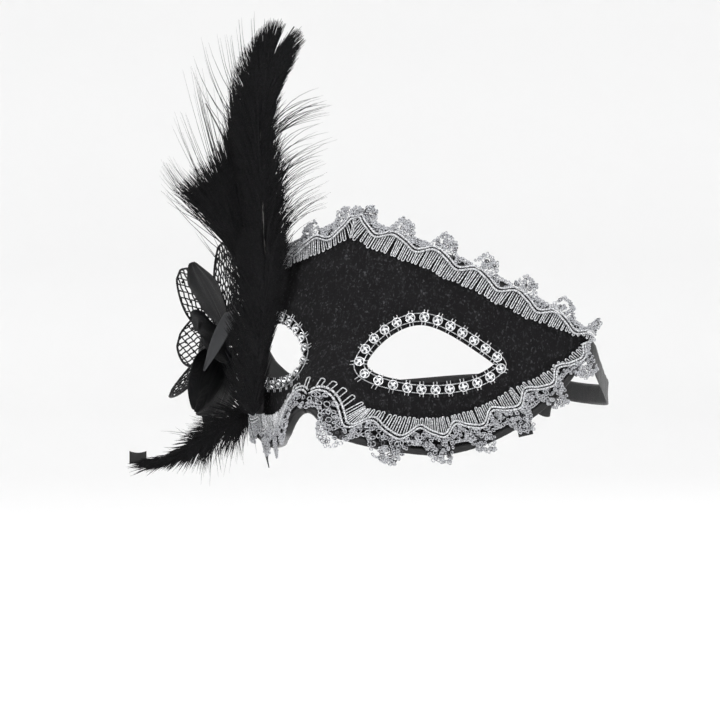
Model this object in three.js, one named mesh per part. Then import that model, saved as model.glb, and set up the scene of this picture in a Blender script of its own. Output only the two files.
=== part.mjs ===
// Venetian half mask: a moulded face shell dressed in velvet, trimmed with silver braid
// and rhinestone chain, with a flower, a plume and a curled feather on the right temple.
// Millimetres, +Z up. The mask faces -Y and +X is the wearer's left. The origin is the
// back of the lining at the bridge of the nose.
import * as THREE from 'three';
import { mergeVertices } from 'three/addons/utils/BufferGeometryUtils.js';

// ---- driving dimensions ----------------------------------------------------------------

// Face form: an elliptical wrap with a leaning brow and a nose.
const HALF_BREADTH = 100;
const FACE_DEPTH = 106;
const PATTERN_RADIUS = (HALF_BREADTH + FACE_DEPTH) / 2;
const BROW_LEAN = 19;
const CHEEK_LEAN = 5;
const NOSE_RISE = 33;
const NOSE_TOP = 14;
const NOSE_RUN = 54;
const NOSE_WIDTH_TOP = 10;
const NOSE_WIDTH_BASE = 27;

// Flat pattern of one half, as distances round the face (u) and up it (z).
const PEAK_HEIGHT = 62;
const TIP_REACH = 119;
const TIP_HEIGHT = 5;
const BROW = new THREE.Vector2(42, 43);
const CHEEK = new THREE.Vector2(44, -45);
const NOSTRIL = new THREE.Vector2(14, -37.5);
const ARCH_HEIGHT = -26;

// Eye opening.
const EYE_INNER = 16.2;
const EYE_LENGTH = 56.2;
const EYE_MIDDLE_HEIGHT = -6;
const EYE_RISE = 17.3;
const EYE_RISE_SHARE = 0.4;
const EYE_DROP = 8.2;
const EYE_DROP_SHARE = 0.48;

// Layers, measured outward from the back of the shell.
const SHELL_WALL = 1.2;
const LAYER_GAP = 0.15;
const VELVET_WALL = 0.6;
const FELT_WALL = 0.5;
const PIECE_GAP = 0.3;
const BINDING_TAPE = 0.35;
const BINDING_LEAF = 2.5;

// Braid trim.
const BRAID_FRINGE = 7.5;
const BRAID_LACE = 11;
const BRAID_SCALLOP = 3.4;
const BRAID_REPEAT = 20;
const BRAID_WALL = 1.2;
const BRAID_TOP_INSET = 1.5;
const BRAID_BOTTOM_INSET = 7;

// Rhinestone chain round each eye.
const CHAIN_INSET = 2.7;
const CHAIN_WIDTH = 1.8;
const CHAIN_WALL = 0.55;
const STONE_PITCH = 6;
const STONE_WIDTH = 4.1;
const STONE_HEIGHT = 2;

// Ties.
const RIBBON_WIDTH = 10;
const RIBBON_WALL = 0.5;
const RIBBON_STEP = 6;
const TIE_SETBACK = 15;
const GLUE_PAD = new THREE.Vector3(8, 12, 0.4);
const TIE_PATCH = new THREE.Vector3(14, 14, 0.8);
const KNOT_SIZE = new THREE.Vector3(9, 7, 8);
const KNOT_PLACE = new THREE.Vector3(-16, 188, -22);
const BOW_LOOP = new THREE.Vector3(23, 13, 3);
const BOW_TAIL_LENGTH = 24;
const BOW_TAIL_LEAN = 0.35;

// Flower.
const FLOWER_U = -88;
const FLOWER_Z = 3;
const FLOWER_BASE_RADIUS = 12;
const FLOWER_BASE_WALL = 1.2;
const FLOWER_CORE_RADIUS = 4;
const FLOWER_CORE_HEIGHT = 8;
const FLOWER_CENTRE_RADIUS = 6;
const PETAL_WALL = 0.8;
const PETAL_ROOT_GAP = 0.5;
const PETAL_TWIST = 14;
const PETAL_CUP = 3;
const LEAF_HALF_WIDTH = 4;
const LOWER_TIER = 2.9;
const UPPER_TIER = 5.8;

// Plume and curled feather.
const PLUME_TURN = 32;
const QUILL_SEAT_U = -50;
const QUILL_SEAT_Z = -24;
const QUILL_PAD = new THREE.Vector3(11, 13, 1);
const QUILL_BINDING_RADIUS = 3;
const QUILL_BINDING_LENGTH = 10;
const QUILL_RADIUS = 1;
const QUILL_TIP_RADIUS = 0.4;
const VANE_WALL = 1.6;

// ---- layer heights that follow from the walls ------------------------------------------

const VELVET_BACK = SHELL_WALL + LAYER_GAP;
const VELVET_FRONT = VELVET_BACK + VELVET_WALL;
const FELT_FRONT = -LAYER_GAP;
const FELT_BACK = FELT_FRONT - FELT_WALL;
const LEAF_FRONT_INNER = VELVET_FRONT + PIECE_GAP;
const LEAF_FRONT_OUTER = LEAF_FRONT_INNER + BINDING_TAPE;
const LEAF_BACK_INNER = FELT_BACK - PIECE_GAP;
const LEAF_BACK_OUTER = LEAF_BACK_INNER - BINDING_TAPE;
const BRAID_BACK = LEAF_FRONT_OUTER + 2 * PIECE_GAP;
const BRAID_FRONT = BRAID_BACK + BRAID_WALL;
const CHAIN_BACK = VELVET_FRONT + 0.5;
const PAD_FRONT = LEAF_BACK_INNER;
const RIBBON_FRONT = LEAF_BACK_OUTER - PIECE_GAP;
const RIBBON_MIDDLE = RIBBON_FRONT - RIBBON_WALL / 2;
const PATCH_FRONT = RIBBON_FRONT - RIBBON_WALL - PIECE_GAP;

// ---- materials -------------------------------------------------------------------------

function finish(color, roughness, metalness) {
  return new THREE.MeshStandardMaterial({ color, roughness, metalness });
}

const BOARD = finish(0x1c1b1c, 0.7, 0);
const VELVET = finish(0x0d0c0e, 0.95, 0);
const FELT = finish(0x131214, 1, 0);
const SATIN = finish(0x08080a, 0.35, 0);
const GREY_SATIN = finish(0x5d5e62, 0.3, 0);
const SILVER_THREAD = finish(0xb9bcc1, 0.4, 0.6);
const CRYSTAL = finish(0xe8ecf0, 0.08, 0.5);
const HOT_GLUE = finish(0xd8d6cc, 0.3, 0);
const NET = finish(0x101012, 0.6, 0);
const FEATHER = finish(0x070708, 0.7, 0);
const QUILL = finish(0x55554f, 0.5, 0);

// ---- small helpers ---------------------------------------------------------------------

const group = new THREE.Group();

function addPiece(parent, name, geometry, material) {
  const piece = new THREE.Mesh(geometry, material);
  piece.name = name;
  parent.add(piece);
  return piece;
}

function signedVolume(positions, triangles) {
  const [a, b, c] = [new THREE.Vector3(), new THREE.Vector3(), new THREE.Vector3()];
  let total = 0;
  for (let i = 0; i < triangles.length; i += 3) {
    a.fromArray(positions, 3 * triangles[i]);
    b.fromArray(positions, 3 * triangles[i + 1]);
    c.fromArray(positions, 3 * triangles[i + 2]);
    total += a.dot(b.cross(c)) / 6;
  }
  return total;
}

// A closed body from points and triangles, turned so that its faces point outward.
function solid(points, triangles) {
  const positions = points.flatMap((p) => [p.x, p.y, p.z]);
  const outward = signedVolume(positions, triangles) > 0;
  const index = outward ? triangles : [...triangles].reverse();
  const geometry = new THREE.BufferGeometry();
  geometry.setAttribute('position', new THREE.Float32BufferAttribute(positions, 3));
  geometry.setIndex(index);
  const merged = mergeVertices(geometry, 1e-4);
  merged.computeVertexNormals();
  return merged;
}

function quad(a, b, c, d) {
  return [a, b, c, a, c, d];
}

// A body through rings of matching points. The outline is the rings' shape in the plane,
// which closes the two ends; without one the rings run round to the first again.
function loft(rings, outline) {
  const sides = rings[0].length;
  const spans = outline ? rings.length - 1 : rings.length;
  const triangles = [];
  for (let i = 0; i < spans; i += 1) {
    const here = i * sides;
    const next = ((i + 1) % rings.length) * sides;
    for (let k = 0; k < sides; k += 1) {
      const m = (k + 1) % sides;
      triangles.push(...quad(here + k, here + m, next + m, next + k));
    }
  }
  if (outline) {
    const last = (rings.length - 1) * sides;
    for (const [a, b, c] of THREE.ShapeUtils.triangulateShape(outline, [])) {
      const flip = THREE.ShapeUtils.isClockWise(outline);
      const [p, q] = flip ? [c, b] : [b, c];
      triangles.push(a, q, p, last + a, last + p, last + q);
    }
  }
  return solid(rings.flat(), triangles);
}

// A sheet between two grids of matching points, with a wall round its edge.
function plate(front, back) {
  const rows = front.length;
  const columns = front[0].length;
  const half = rows * columns;
  const at = (r, c) => r * columns + c;
  const triangles = [];
  for (let r = 0; r < rows - 1; r += 1) {
    for (let c = 0; c < columns - 1; c += 1) {
      const cell = quad(at(r, c), at(r, c + 1), at(r + 1, c + 1), at(r + 1, c));
      triangles.push(...cell, ...cell.map((i) => i + half).reverse());
    }
  }
  const rim = [];
  for (let c = 0; c < columns - 1; c += 1) rim.push(at(0, c));
  for (let r = 0; r < rows - 1; r += 1) rim.push(at(r, columns - 1));
  for (let c = columns - 1; c > 0; c -= 1) rim.push(at(rows - 1, c));
  for (let r = rows - 1; r > 0; r -= 1) rim.push(at(r, 0));
  rim.forEach((a, i) => {
    const b = rim[(i + 1) % rim.length];
    triangles.push(...quad(a, a + half, b + half, b));
  });
  return solid([...front.flat(), ...back.flat()], triangles);
}

// A tube that tapers along a curve, with as many sides as asked for.
function taperedTube(curve, startRadius, endRadius, steps, sides) {
  const frames = curve.computeFrenetFrames(steps);
  const circle = new THREE.Path().absarc(0, 0, 1, 0, 2 * Math.PI).getPoints(sides);
  const outline = circle.slice(0, sides);
  const rings = curve.getSpacedPoints(steps).map((centre, i) => {
    const radius = THREE.MathUtils.lerp(startRadius, endRadius, i / steps);
    return outline.map((p) => centre.clone()
      .addScaledVector(frames.normals[i], p.x * radius)
      .addScaledVector(frames.binormals[i], p.y * radius));
  });
  return loft(rings, outline);
}

function roundedPlate(width, height, wall, radius) {
  const shape = new THREE.Shape();
  const [x, y] = [width / 2, height / 2];
  shape.absarc(x - radius, y - radius, radius, 0, Math.PI / 2);
  shape.absarc(radius - x, y - radius, radius, Math.PI / 2, Math.PI);
  shape.absarc(radius - x, radius - y, radius, Math.PI, 1.5 * Math.PI);
  shape.absarc(x - radius, radius - y, radius, 1.5 * Math.PI, 2 * Math.PI);
  return new THREE.ExtrudeGeometry(shape, { depth: wall, bevelEnabled: false, curveSegments: 1 });
}

// ---- face form -------------------------------------------------------------------------

function faceBase(u, z) {
  const angle = u / PATTERN_RADIUS;
  const x = HALF_BREADTH * Math.sin(angle);
  const lean = z > 0 ? BROW_LEAN * (z / PEAK_HEIGHT) ** 1.5 : CHEEK_LEAN * (z / CHEEK.y) ** 2;
  const down = THREE.MathUtils.clamp((NOSE_TOP - z) / NOSE_RUN, 0, 1);
  const width = THREE.MathUtils.lerp(NOSE_WIDTH_TOP, NOSE_WIDTH_BASE, down);
  const nose = NOSE_RISE * THREE.MathUtils.smoothstep(down, 0, 1) * Math.exp(-((x / width) ** 2));
  return new THREE.Vector3(x, FACE_DEPTH * (1 - Math.cos(angle)) + lean - nose, z);
}

// Tangents round and up the face, and the outward normal.
function faceFrame(u, z) {
  const step = 0.05;
  const across = faceBase(u + step, z).sub(faceBase(u - step, z)).normalize();
  const rise = faceBase(u, z + step).sub(faceBase(u, z - step)).normalize();
  const normal = new THREE.Vector3().crossVectors(across, rise).normalize();
  const up = new THREE.Vector3().crossVectors(normal, across);
  return { across, up, normal };
}

const BRIDGE_SHIFT = -faceBase(0, 0).addScaledVector(faceFrame(0, 0).normal, FELT_BACK).y;

function facePoint(u, z, lift) {
  const point = faceBase(u, z).addScaledVector(faceFrame(u, z).normal, lift);
  point.y += BRIDGE_SHIFT;
  return point;
}

// A small sheet that follows the face, centred on a point of the pattern.
function facePatch(u, z, size, back) {
  const grid = (lift) => [-0.5, 0, 0.5].map((v) => [-0.5, 0, 0.5].map(
    (h) => facePoint(u + h * size.x, z + v * size.y, lift)));
  return plate(grid(back + size.z), grid(back));
}

// Puts a piece's own z axis along the face's normal, with its y axis up the face.
function seatOnFace(piece, u, z, lift) {
  const { across, up, normal } = faceFrame(u, z);
  piece.quaternion.setFromRotationMatrix(new THREE.Matrix4().makeBasis(across, up, normal));
  piece.position.copy(facePoint(u, z, lift));
}

// ---- pattern outlines ------------------------------------------------------------------

const PEAK = new THREE.Vector2(0, PEAK_HEIGHT);
const TIP = new THREE.Vector2(TIP_REACH, TIP_HEIGHT);
const ARCH = new THREE.Vector2(0, ARCH_HEIGHT);

function bezier(start, outX, outY, inX, inY, end) {
  const first = new THREE.Vector2(start.x + outX, start.y + outY);
  const second = new THREE.Vector2(end.x + inX, end.y + inY);
  return new THREE.CubicBezierCurve(start, first, second, end);
}

const BROW_EDGE = bezier(PEAK, 8, -10, -18, 7, BROW);
const TEMPLE_EDGE = bezier(BROW, 18, -8, -24, 14, TIP);
const CHEEK_EDGE = bezier(TIP, -11, -27, 24, 0, CHEEK);
const NOSTRIL_EDGE = bezier(CHEEK, -12, 0, 6, -2.5, NOSTRIL);
const ARCH_EDGE = bezier(NOSTRIL, -5, 2, 6, 0, ARCH);

const EYE_LEFT = new THREE.Vector2(EYE_INNER, EYE_MIDDLE_HEIGHT);
const EYE_RIGHT = new THREE.Vector2(EYE_INNER + EYE_LENGTH, EYE_MIDDLE_HEIGHT);
const EYE_UPPER = new THREE.Vector2(
  EYE_INNER + EYE_RISE_SHARE * EYE_LENGTH, EYE_MIDDLE_HEIGHT + EYE_RISE);
const EYE_LOWER = new THREE.Vector2(
  EYE_INNER + EYE_DROP_SHARE * EYE_LENGTH, EYE_MIDDLE_HEIGHT - EYE_DROP);
const EYE_EDGES = [
  bezier(EYE_LEFT, 0, 6, -11, 0, EYE_UPPER),
  bezier(EYE_UPPER, 9, 0, -10, 7.5, EYE_RIGHT),
  bezier(EYE_RIGHT, -7, -6, 11, 0, EYE_LOWER),
  bezier(EYE_LOWER, -15, 0, 0, -5, EYE_LEFT),
];

function lineTo(start, end) {
  return new THREE.LineCurve(start, end);
}

// Points along a run of curves, each cut into its own number of steps. The last is left out.
function stations(runs) {
  return runs.flatMap(([curve, steps]) => curve.getSpacedPoints(steps).slice(0, steps));
}

const RING_STEPS = 10;
const MIDLINE = new THREE.Vector2(0, EYE_MIDDLE_HEIGHT);
const EYE_LOOP = stations(EYE_EDGES.map((edge) => [edge, RING_STEPS]));
const TOP_RUN = [[BROW_EDGE, 4], [TEMPLE_EDGE, RING_STEPS]];
const BOTTOM_RUN = [[CHEEK_EDGE, RING_STEPS], [NOSTRIL_EDGE, 4], [ARCH_EDGE, 3]];
const OUTER_LOOP = stations([
  [lineTo(MIDLINE, PEAK), 6], ...TOP_RUN, ...BOTTOM_RUN, [lineTo(ARCH, MIDLINE), 3],
]);
const TOP_STATIONS = [...stations(TOP_RUN), TIP];
const BOTTOM_STATIONS = [...stations(BOTTOM_RUN), ARCH];

// ---- shell, velvet and felt ------------------------------------------------------------

const RADIAL_STEPS = 5;

// A layer of the mask between two heights: both halves, with an eye opening in each.
function maskLayer(back, front) {
  const points = [];
  const triangles = [];
  const count = EYE_LOOP.length;
  for (const side of [1, -1]) {
    const first = points.length;
    for (const lift of [front, back]) {
      for (let j = 0; j <= RADIAL_STEPS; j += 1) {
        for (let i = 0; i < count; i += 1) {
          const p = EYE_LOOP[i].clone().lerp(OUTER_LOOP[i], j / RADIAL_STEPS);
          points.push(facePoint(side * p.x, p.y, lift));
        }
      }
    }
    const half = (RADIAL_STEPS + 1) * count;
    const at = (i, j) => first + j * count + (i % count);
    const add = (cell) => triangles.push(...(side > 0 ? cell : cell.reverse()));
    for (let i = 0; i < count; i += 1) {
      for (let j = 0; j < RADIAL_STEPS; j += 1) {
        const cell = quad(at(i, j), at(i + 1, j), at(i + 1, j + 1), at(i, j + 1));
        add(cell.map((k) => k + half).reverse());
        add(cell);
      }
      add(quad(at(i, 0), at(i, 0) + half, at(i + 1, 0) + half, at(i + 1, 0)));
      const onMidline = OUTER_LOOP[i].x === 0 && OUTER_LOOP[(i + 1) % count].x === 0;
      if (!onMidline) {
        const [a, b] = [at(i, RADIAL_STEPS), at(i + 1, RADIAL_STEPS)];
        add(quad(b, b + half, a + half, a));
      }
    }
  }
  return solid(points, triangles);
}

addPiece(group, 'shell', maskLayer(0, SHELL_WALL), BOARD);
addPiece(group, 'velvet_cover', maskLayer(VELVET_BACK, VELVET_FRONT), VELVET);
addPiece(group, 'felt_lining', maskLayer(FELT_BACK, FELT_FRONT), FELT);

// ---- edge strips -----------------------------------------------------------------------

const STRIP_MARGIN = 0.35;
const TIP_AXIS = TIP.clone().sub(CHEEK_EDGE.getPoint(0.02)).normalize()
  .add(TIP.clone().sub(TEMPLE_EDGE.getPoint(0.98)).normalize()).normalize();

// How far a station may be offset before it crosses the midline or the tip's bisector.
function limited(point, normal, offset, aboveTip) {
  const sides = [[new THREE.Vector2(1, 0), point.x - STRIP_MARGIN]];
  const away = new THREE.Vector2(-TIP_AXIS.y, TIP_AXIS.x).multiplyScalar(aboveTip ? 1 : -1);
  sides.push([away, point.clone().sub(TIP).dot(away) - STRIP_MARGIN]);
  let allowed = offset;
  for (const [direction, room] of sides) {
    const speed = normal.dot(direction) * Math.sign(offset);
    if (speed < 0) {
      const reach = Math.max(room, 0) / -speed;
      allowed = Math.sign(offset) * Math.min(Math.abs(allowed), reach);
    }
  }
  return allowed;
}

// Outward normals of an open run of stations, each lengthened to keep offsets parallel.
function runNormals(run) {
  return run.map((point, i) => {
    const before = point.clone().sub(run[Math.max(i - 1, 0)]).normalize();
    const after = run[Math.min(i + 1, run.length - 1)].clone().sub(point).normalize();
    const along = before.clone().add(after).normalize();
    const bend = Math.max(along.dot(i ? before : after), 0.8);
    return new THREE.Vector2(-along.y, along.x).multiplyScalar(1 / bend);
  });
}

function trimmedRun(run, startTrim, endTrim) {
  const first = run[1].clone().sub(run[0]).setLength(startTrim).add(run[0]);
  const [beforeLast, last] = run.slice(-2);
  const end = beforeLast.clone().sub(last).setLength(endTrim).add(last);
  return [first, ...run.slice(1, -1), end];
}

// A strip that follows an edge. Its section is a list of [offset, lift] for each station.
function edgeStrip(run, side, aboveTip, sectionAt) {
  const normals = runNormals(run);
  const sections = run.map((_, i) => sectionAt(i));
  const rings = run.map((point, i) => sections[i].map(([offset, lift]) => {
    const reach = limited(point, normals[i], offset, aboveTip);
    const p = point.clone().addScaledVector(normals[i], reach);
    return facePoint(side * p.x, p.y, lift);
  }));
  return loft(rings, sections[1].map(([offset, lift]) => new THREE.Vector2(offset, lift)));
}

const CORNER_TRIM = 1.5;
const SEAM_TRIM = 0.3;

function bindingSection() {
  const outer = PIECE_GAP + BINDING_TAPE;
  return [
    [-BINDING_LEAF, LEAF_FRONT_OUTER], [outer, LEAF_FRONT_OUTER],
    [outer, LEAF_BACK_OUTER], [-BINDING_LEAF, LEAF_BACK_OUTER],
    [-BINDING_LEAF, LEAF_BACK_INNER], [PIECE_GAP, LEAF_BACK_INNER],
    [PIECE_GAP, LEAF_FRONT_INNER], [-BINDING_LEAF, LEAF_FRONT_INNER],
  ];
}

// Even stations along a run of curves, a given distance apart.
function evenRun(curves, spacing) {
  const path = new THREE.CurvePath();
  curves.forEach((curve) => path.add(curve));
  return path.getSpacedPoints(Math.round(path.getLength() / spacing));
}

const BRAID_STEPS_PER_REPEAT = 6;
const BRAID_SPACING = BRAID_REPEAT / BRAID_STEPS_PER_REPEAT;
const BRAID_ACROSS = [0, 0.25, 0.5, 0.75, 1];

// Braid: fringe on the inner side of the gimp, scalloped lace on the outer side.
function braidSection(inset) {
  return (i) => {
    const phase = Math.PI * (i / BRAID_STEPS_PER_REPEAT);
    const lace = BRAID_LACE - BRAID_SCALLOP * (1 - Math.abs(Math.sin(phase)));
    const inner = -inset - BRAID_FRINGE;
    const outer = lace - inset;
    const across = BRAID_ACROSS.map((t) => THREE.MathUtils.lerp(inner, outer, t));
    const front = across.map((offset) => [offset, BRAID_FRONT]);
    const back = across.map((offset) => [offset, BRAID_BACK]).reverse();
    return [...front, ...back];
  };
}

for (const [word, side] of [['left', 1], ['right', -1]]) {
  const top = trimmedRun(TOP_STATIONS, CORNER_TRIM, CORNER_TRIM);
  const bottom = trimmedRun(BOTTOM_STATIONS, CORNER_TRIM, SEAM_TRIM);
  const topBinding = edgeStrip(top, side, true, bindingSection);
  const bottomBinding = edgeStrip(bottom, side, false, bindingSection);
  addPiece(group, `edge_binding_top_${word}`, topBinding, SATIN);
  addPiece(group, `edge_binding_bottom_${word}`, bottomBinding, SATIN);

  const topRun = trimmedRun(evenRun([BROW_EDGE, TEMPLE_EDGE], BRAID_SPACING), 1, 1);
  const bottomCurves = [CHEEK_EDGE, NOSTRIL_EDGE, ARCH_EDGE];
  const bottomRun = trimmedRun(evenRun(bottomCurves, BRAID_SPACING), 1, STRIP_MARGIN);
  const topBraid = edgeStrip(topRun, side, true, braidSection(BRAID_TOP_INSET));
  const bottomBraid = edgeStrip(bottomRun, side, false, braidSection(BRAID_BOTTOM_INSET));
  addPiece(group, `silver_braid_top_${word}`, topBraid, SILVER_THREAD);
  addPiece(group, `silver_braid_bottom_${word}`, bottomBraid, SILVER_THREAD);
}

// ---- rhinestone chains -----------------------------------------------------------------

// The chain's centre line: even points round the eye, two for each stone.
function chainLine() {
  const path = new THREE.CurvePath();
  EYE_EDGES.forEach((edge) => path.add(edge));
  const stones = Math.round((path.getLength() + 2 * Math.PI * CHAIN_INSET) / STONE_PITCH);
  const loop = path.getSpacedPoints(2 * stones).slice(0, 2 * stones);
  return loop.map((point, i) => {
    const along = loop[(i + 1) % loop.length].clone().sub(loop.at(i - 1)).normalize();
    const normal = new THREE.Vector2(-along.y, along.x);
    return { point: point.clone().addScaledVector(normal, CHAIN_INSET), normal };
  });
}

// A closed strip that widens and rises at each stone.
function chainGeometry(side) {
  const rings = chainLine().map(({ point, normal }, i) => {
    const atStone = i % 2 === 0;
    const half = atStone ? STONE_WIDTH / 2 : CHAIN_WIDTH / 2;
    const top = CHAIN_BACK + (atStone ? STONE_HEIGHT : CHAIN_WALL);
    const section = [[-half, CHAIN_BACK], [half, CHAIN_BACK], [half, top], [-half, top]];
    return section.map(([offset, lift]) => {
      const p = point.clone().addScaledVector(normal, offset);
      return facePoint(side * p.x, p.y, lift);
    });
  });
  return loft(rings);
}

addPiece(group, 'rhinestone_band_left', chainGeometry(1), CRYSTAL);
addPiece(group, 'rhinestone_band_right', chainGeometry(-1), CRYSTAL);

// ---- ties ------------------------------------------------------------------------------

// A flat ribbon along points, its width kept as upright as the path allows.
function ribbon(points, width) {
  const curve = new THREE.CatmullRomCurve3(points);
  const steps = Math.round(curve.getLength() / RIBBON_STEP);
  const rings = curve.getSpacedPoints(steps).map((centre, i) => {
    const along = curve.getTangentAt(i / steps);
    const face = new THREE.Vector3(along.y, -along.x, 0).normalize();
    const rise = new THREE.Vector3().crossVectors(face, along).normalize();
    const corner = (w, t) => centre.clone()
      .addScaledVector(rise, w * width / 2)
      .addScaledVector(face, t * RIBBON_WALL / 2);
    return [corner(-1, -1), corner(1, -1), corner(1, 1), corner(-1, 1)];
  });
  const outline = [[-1, -1], [1, -1], [1, 1], [-1, 1]].map(([x, y]) => new THREE.Vector2(x, y));
  return loft(rings, outline);
}

// The free run of each tie, from behind the tip of the mask to the knot behind the head.
const KNOT_SIDE = KNOT_SIZE.x / 2 + PIECE_GAP;
const LEFT_ROUTE = [
  [88, 85, -10], [80, 108, -18], [70, 132, -23], [54, 156, -25],
  [32, 174, -25], [10, 184, -23], [KNOT_PLACE.x + KNOT_SIDE, 188, -22],
];
const RIGHT_ROUTE = [
  [-89, 82, -13], [-85, 95, -22], [-79, 113, -26], [-70, 133, -26],
  [-56, 155, -25], [-36, 176, -23], [KNOT_PLACE.x - KNOT_SIDE, 187, -22],
];

const TIE_HEIGHT = TIP_HEIGHT - 6;

// A point of the tie where it lies behind the mask, a given distance back from the tip,
// and eased away from the lining.
function tieAnchor(side, setback, ease) {
  return facePoint(side * (TIP_REACH - setback), TIE_HEIGHT, RIBBON_MIDDLE - ease);
}

function addTie(word, side, route) {
  const anchorU = side * (TIP_REACH - TIE_SETBACK);
  const pad = facePatch(anchorU, TIE_HEIGHT, GLUE_PAD, PAD_FRONT - GLUE_PAD.z);
  addPiece(group, `glue_pad_${word}`, pad, HOT_GLUE);
  const anchors = [[19, 0], [12, 0], [5, 0.3], [-3, 1]];
  const points = anchors.map(([setback, ease]) => tieAnchor(side, setback, ease));
  points.push(...route.map((p) => new THREE.Vector3(...p)));
  addPiece(group, `tie_ribbon_${word}`, ribbon(points, RIBBON_WIDTH), SATIN);
  const patch = facePatch(anchorU, TIE_HEIGHT, TIE_PATCH, PATCH_FRONT - TIE_PATCH.z);
  addPiece(group, `tie_patch_${word}`, patch, FELT);
}

addTie('left', 1, LEFT_ROUTE);
addTie('right', -1, RIGHT_ROUTE);

function addBow() {
  const bow = new THREE.Group();
  bow.position.copy(KNOT_PLACE);
  group.add(bow);
  const knot = addPiece(bow, 'tie_knot', roundedPlate(KNOT_SIZE.x, KNOT_SIZE.z, KNOT_SIZE.y, 2), SATIN);
  knot.rotation.x = -Math.PI / 2;
  knot.position.y = -KNOT_SIZE.y / 2;
  for (const [word, side] of [['left', 1], ['right', -1]]) {
    addPiece(bow, `bow_loop_${word}`, bowLoop(side), SATIN);
    addPiece(bow, `bow_tail_${word}`, bowTail(side), SATIN);
  }
}

// A flattened drop that droops beside the knot, behind the tie.
function bowLoop(side) {
  const outline = new THREE.Shape();
  outline.moveTo(0, -2);
  outline.quadraticCurveTo(BOW_LOOP.x, -BOW_LOOP.y, BOW_LOOP.x, 0);
  outline.quadraticCurveTo(BOW_LOOP.x, BOW_LOOP.y * 0.7, 0, 2);
  const drop = new THREE.ExtrudeGeometry(outline, {
    depth: BOW_LOOP.z, bevelEnabled: false, curveSegments: 6,
  });
  drop.rotateZ(-Math.PI / 6);
  drop.rotateX(Math.PI / 2);
  drop.translate(KNOT_SIDE + 1, KNOT_SIZE.y / 2, 1);
  return side > 0 ? drop : mirrored(drop);
}

function mirrored(geometry) {
  const copy = geometry.clone();
  copy.scale(-1, 1, 1);
  const position = copy.attributes.position;
  const points = [];
  for (let i = 0; i < position.count; i += 1) {
    points.push(new THREE.Vector3().fromBufferAttribute(position, i));
  }
  return solid(points, points.map((_, i) => i));
}

function bowTail(side) {
  const corners = [[-2, 0], [2, 0], [2 + 1.6, -BOW_TAIL_LENGTH], [-2, 1.5 - BOW_TAIL_LENGTH]];
  const shape = new THREE.Shape(corners.map(([x, y]) => new THREE.Vector2(side * (x - BOW_TAIL_LEAN * y), y)));
  const strip = new THREE.ExtrudeGeometry(shape, { depth: RIBBON_WALL, bevelEnabled: false });
  strip.rotateX(Math.PI / 2);
  strip.translate(side * 2.6, RIBBON_WALL * 4, -KNOT_SIZE.z / 2 - PIECE_GAP);
  return strip;
}

addBow();

// ---- flower ----------------------------------------------------------------------------

const CHAIN_FRONT = CHAIN_BACK + STONE_HEIGHT;
const FLOWER_LIFT = Math.max(BRAID_FRONT, CHAIN_FRONT) + PIECE_GAP;
const flower = new THREE.Group();
seatOnFace(flower, FLOWER_U, FLOWER_Z, FLOWER_LIFT);
group.add(flower);

function turned(points) {
  const profile = points.map(([radius, height]) => new THREE.Vector2(radius, height));
  return new THREE.LatheGeometry(profile, 16).rotateX(Math.PI / 2);
}

function addFlowerMiddle() {
  const coreStart = FLOWER_BASE_WALL + PIECE_GAP;
  const coreEnd = coreStart + FLOWER_CORE_HEIGHT;
  const cylinder = (radius, start, end) => turned([
    [0, start], [radius, start], [radius, end], [0, end],
  ]);
  addPiece(flower, 'flower_base', cylinder(FLOWER_BASE_RADIUS, 0, FLOWER_BASE_WALL), FELT);
  addPiece(flower, 'flower_core', cylinder(FLOWER_CORE_RADIUS, coreStart, coreEnd), FELT);
  const dome = [0, 30, 60].map((degrees) => {
    const angle = THREE.MathUtils.degToRad(degrees);
    const height = coreEnd + PIECE_GAP + FLOWER_CENTRE_RADIUS * 0.6 * Math.sin(angle);
    return [FLOWER_CENTRE_RADIUS * Math.cos(angle), height];
  });
  const top = coreEnd + PIECE_GAP + FLOWER_CENTRE_RADIUS * 0.6;
  const profile = [[0, coreEnd + PIECE_GAP], ...dome, [0, top]];
  addPiece(flower, 'flower_centre', turned(profile), SATIN);
}

// A petal is a cupped sheet that runs out from the core. Azimuth turns from up to the
// front, flare lifts it off the mask, and the twist lets neighbours lap like shingles.
function petalGeometry({ azimuth, flare, tier, length, halfWidth }) {
  const turn = THREE.MathUtils.degToRad(azimuth);
  const rise = THREE.MathUtils.degToRad(flare);
  const lean = THREE.MathUtils.degToRad(PETAL_TWIST);
  const radial = new THREE.Vector3(Math.sin(turn), Math.cos(turn), 0);
  const outward = new THREE.Vector3(0, 0, 1);
  const along = radial.clone().multiplyScalar(Math.cos(rise))
    .addScaledVector(outward, Math.sin(rise));
  const flat = new THREE.Vector3(Math.cos(turn), -Math.sin(turn), 0);
  const across = flat.applyAxisAngle(along, lean);
  const face = new THREE.Vector3().crossVectors(along, across).normalize();
  if (face.z < 0) face.negate();
  const root = radial.multiplyScalar(FLOWER_CORE_RADIUS + PETAL_ROOT_GAP)
    .addScaledVector(outward, tier);
  const rows = [0, 0.18, 0.38, 0.58, 0.76, 0.9, 1];
  const columns = [-1, -0.5, 0, 0.5, 1];
  const sheet = (offset) => rows.map((s) => {
    const width = halfWidth * (0.16 + 0.84 * Math.sin(Math.PI * s ** 1.25) ** 0.75 * (1 - 0.16 * s));
    return columns.map((w) => root.clone()
      .addScaledVector(along, length * s)
      .addScaledVector(across, width * w)
      .addScaledVector(face, offset + PETAL_CUP * s * (1 - s) * (w * w - 1)));
  });
  return plate(sheet(PETAL_WALL / 2), sheet(-PETAL_WALL / 2));
}

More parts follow.
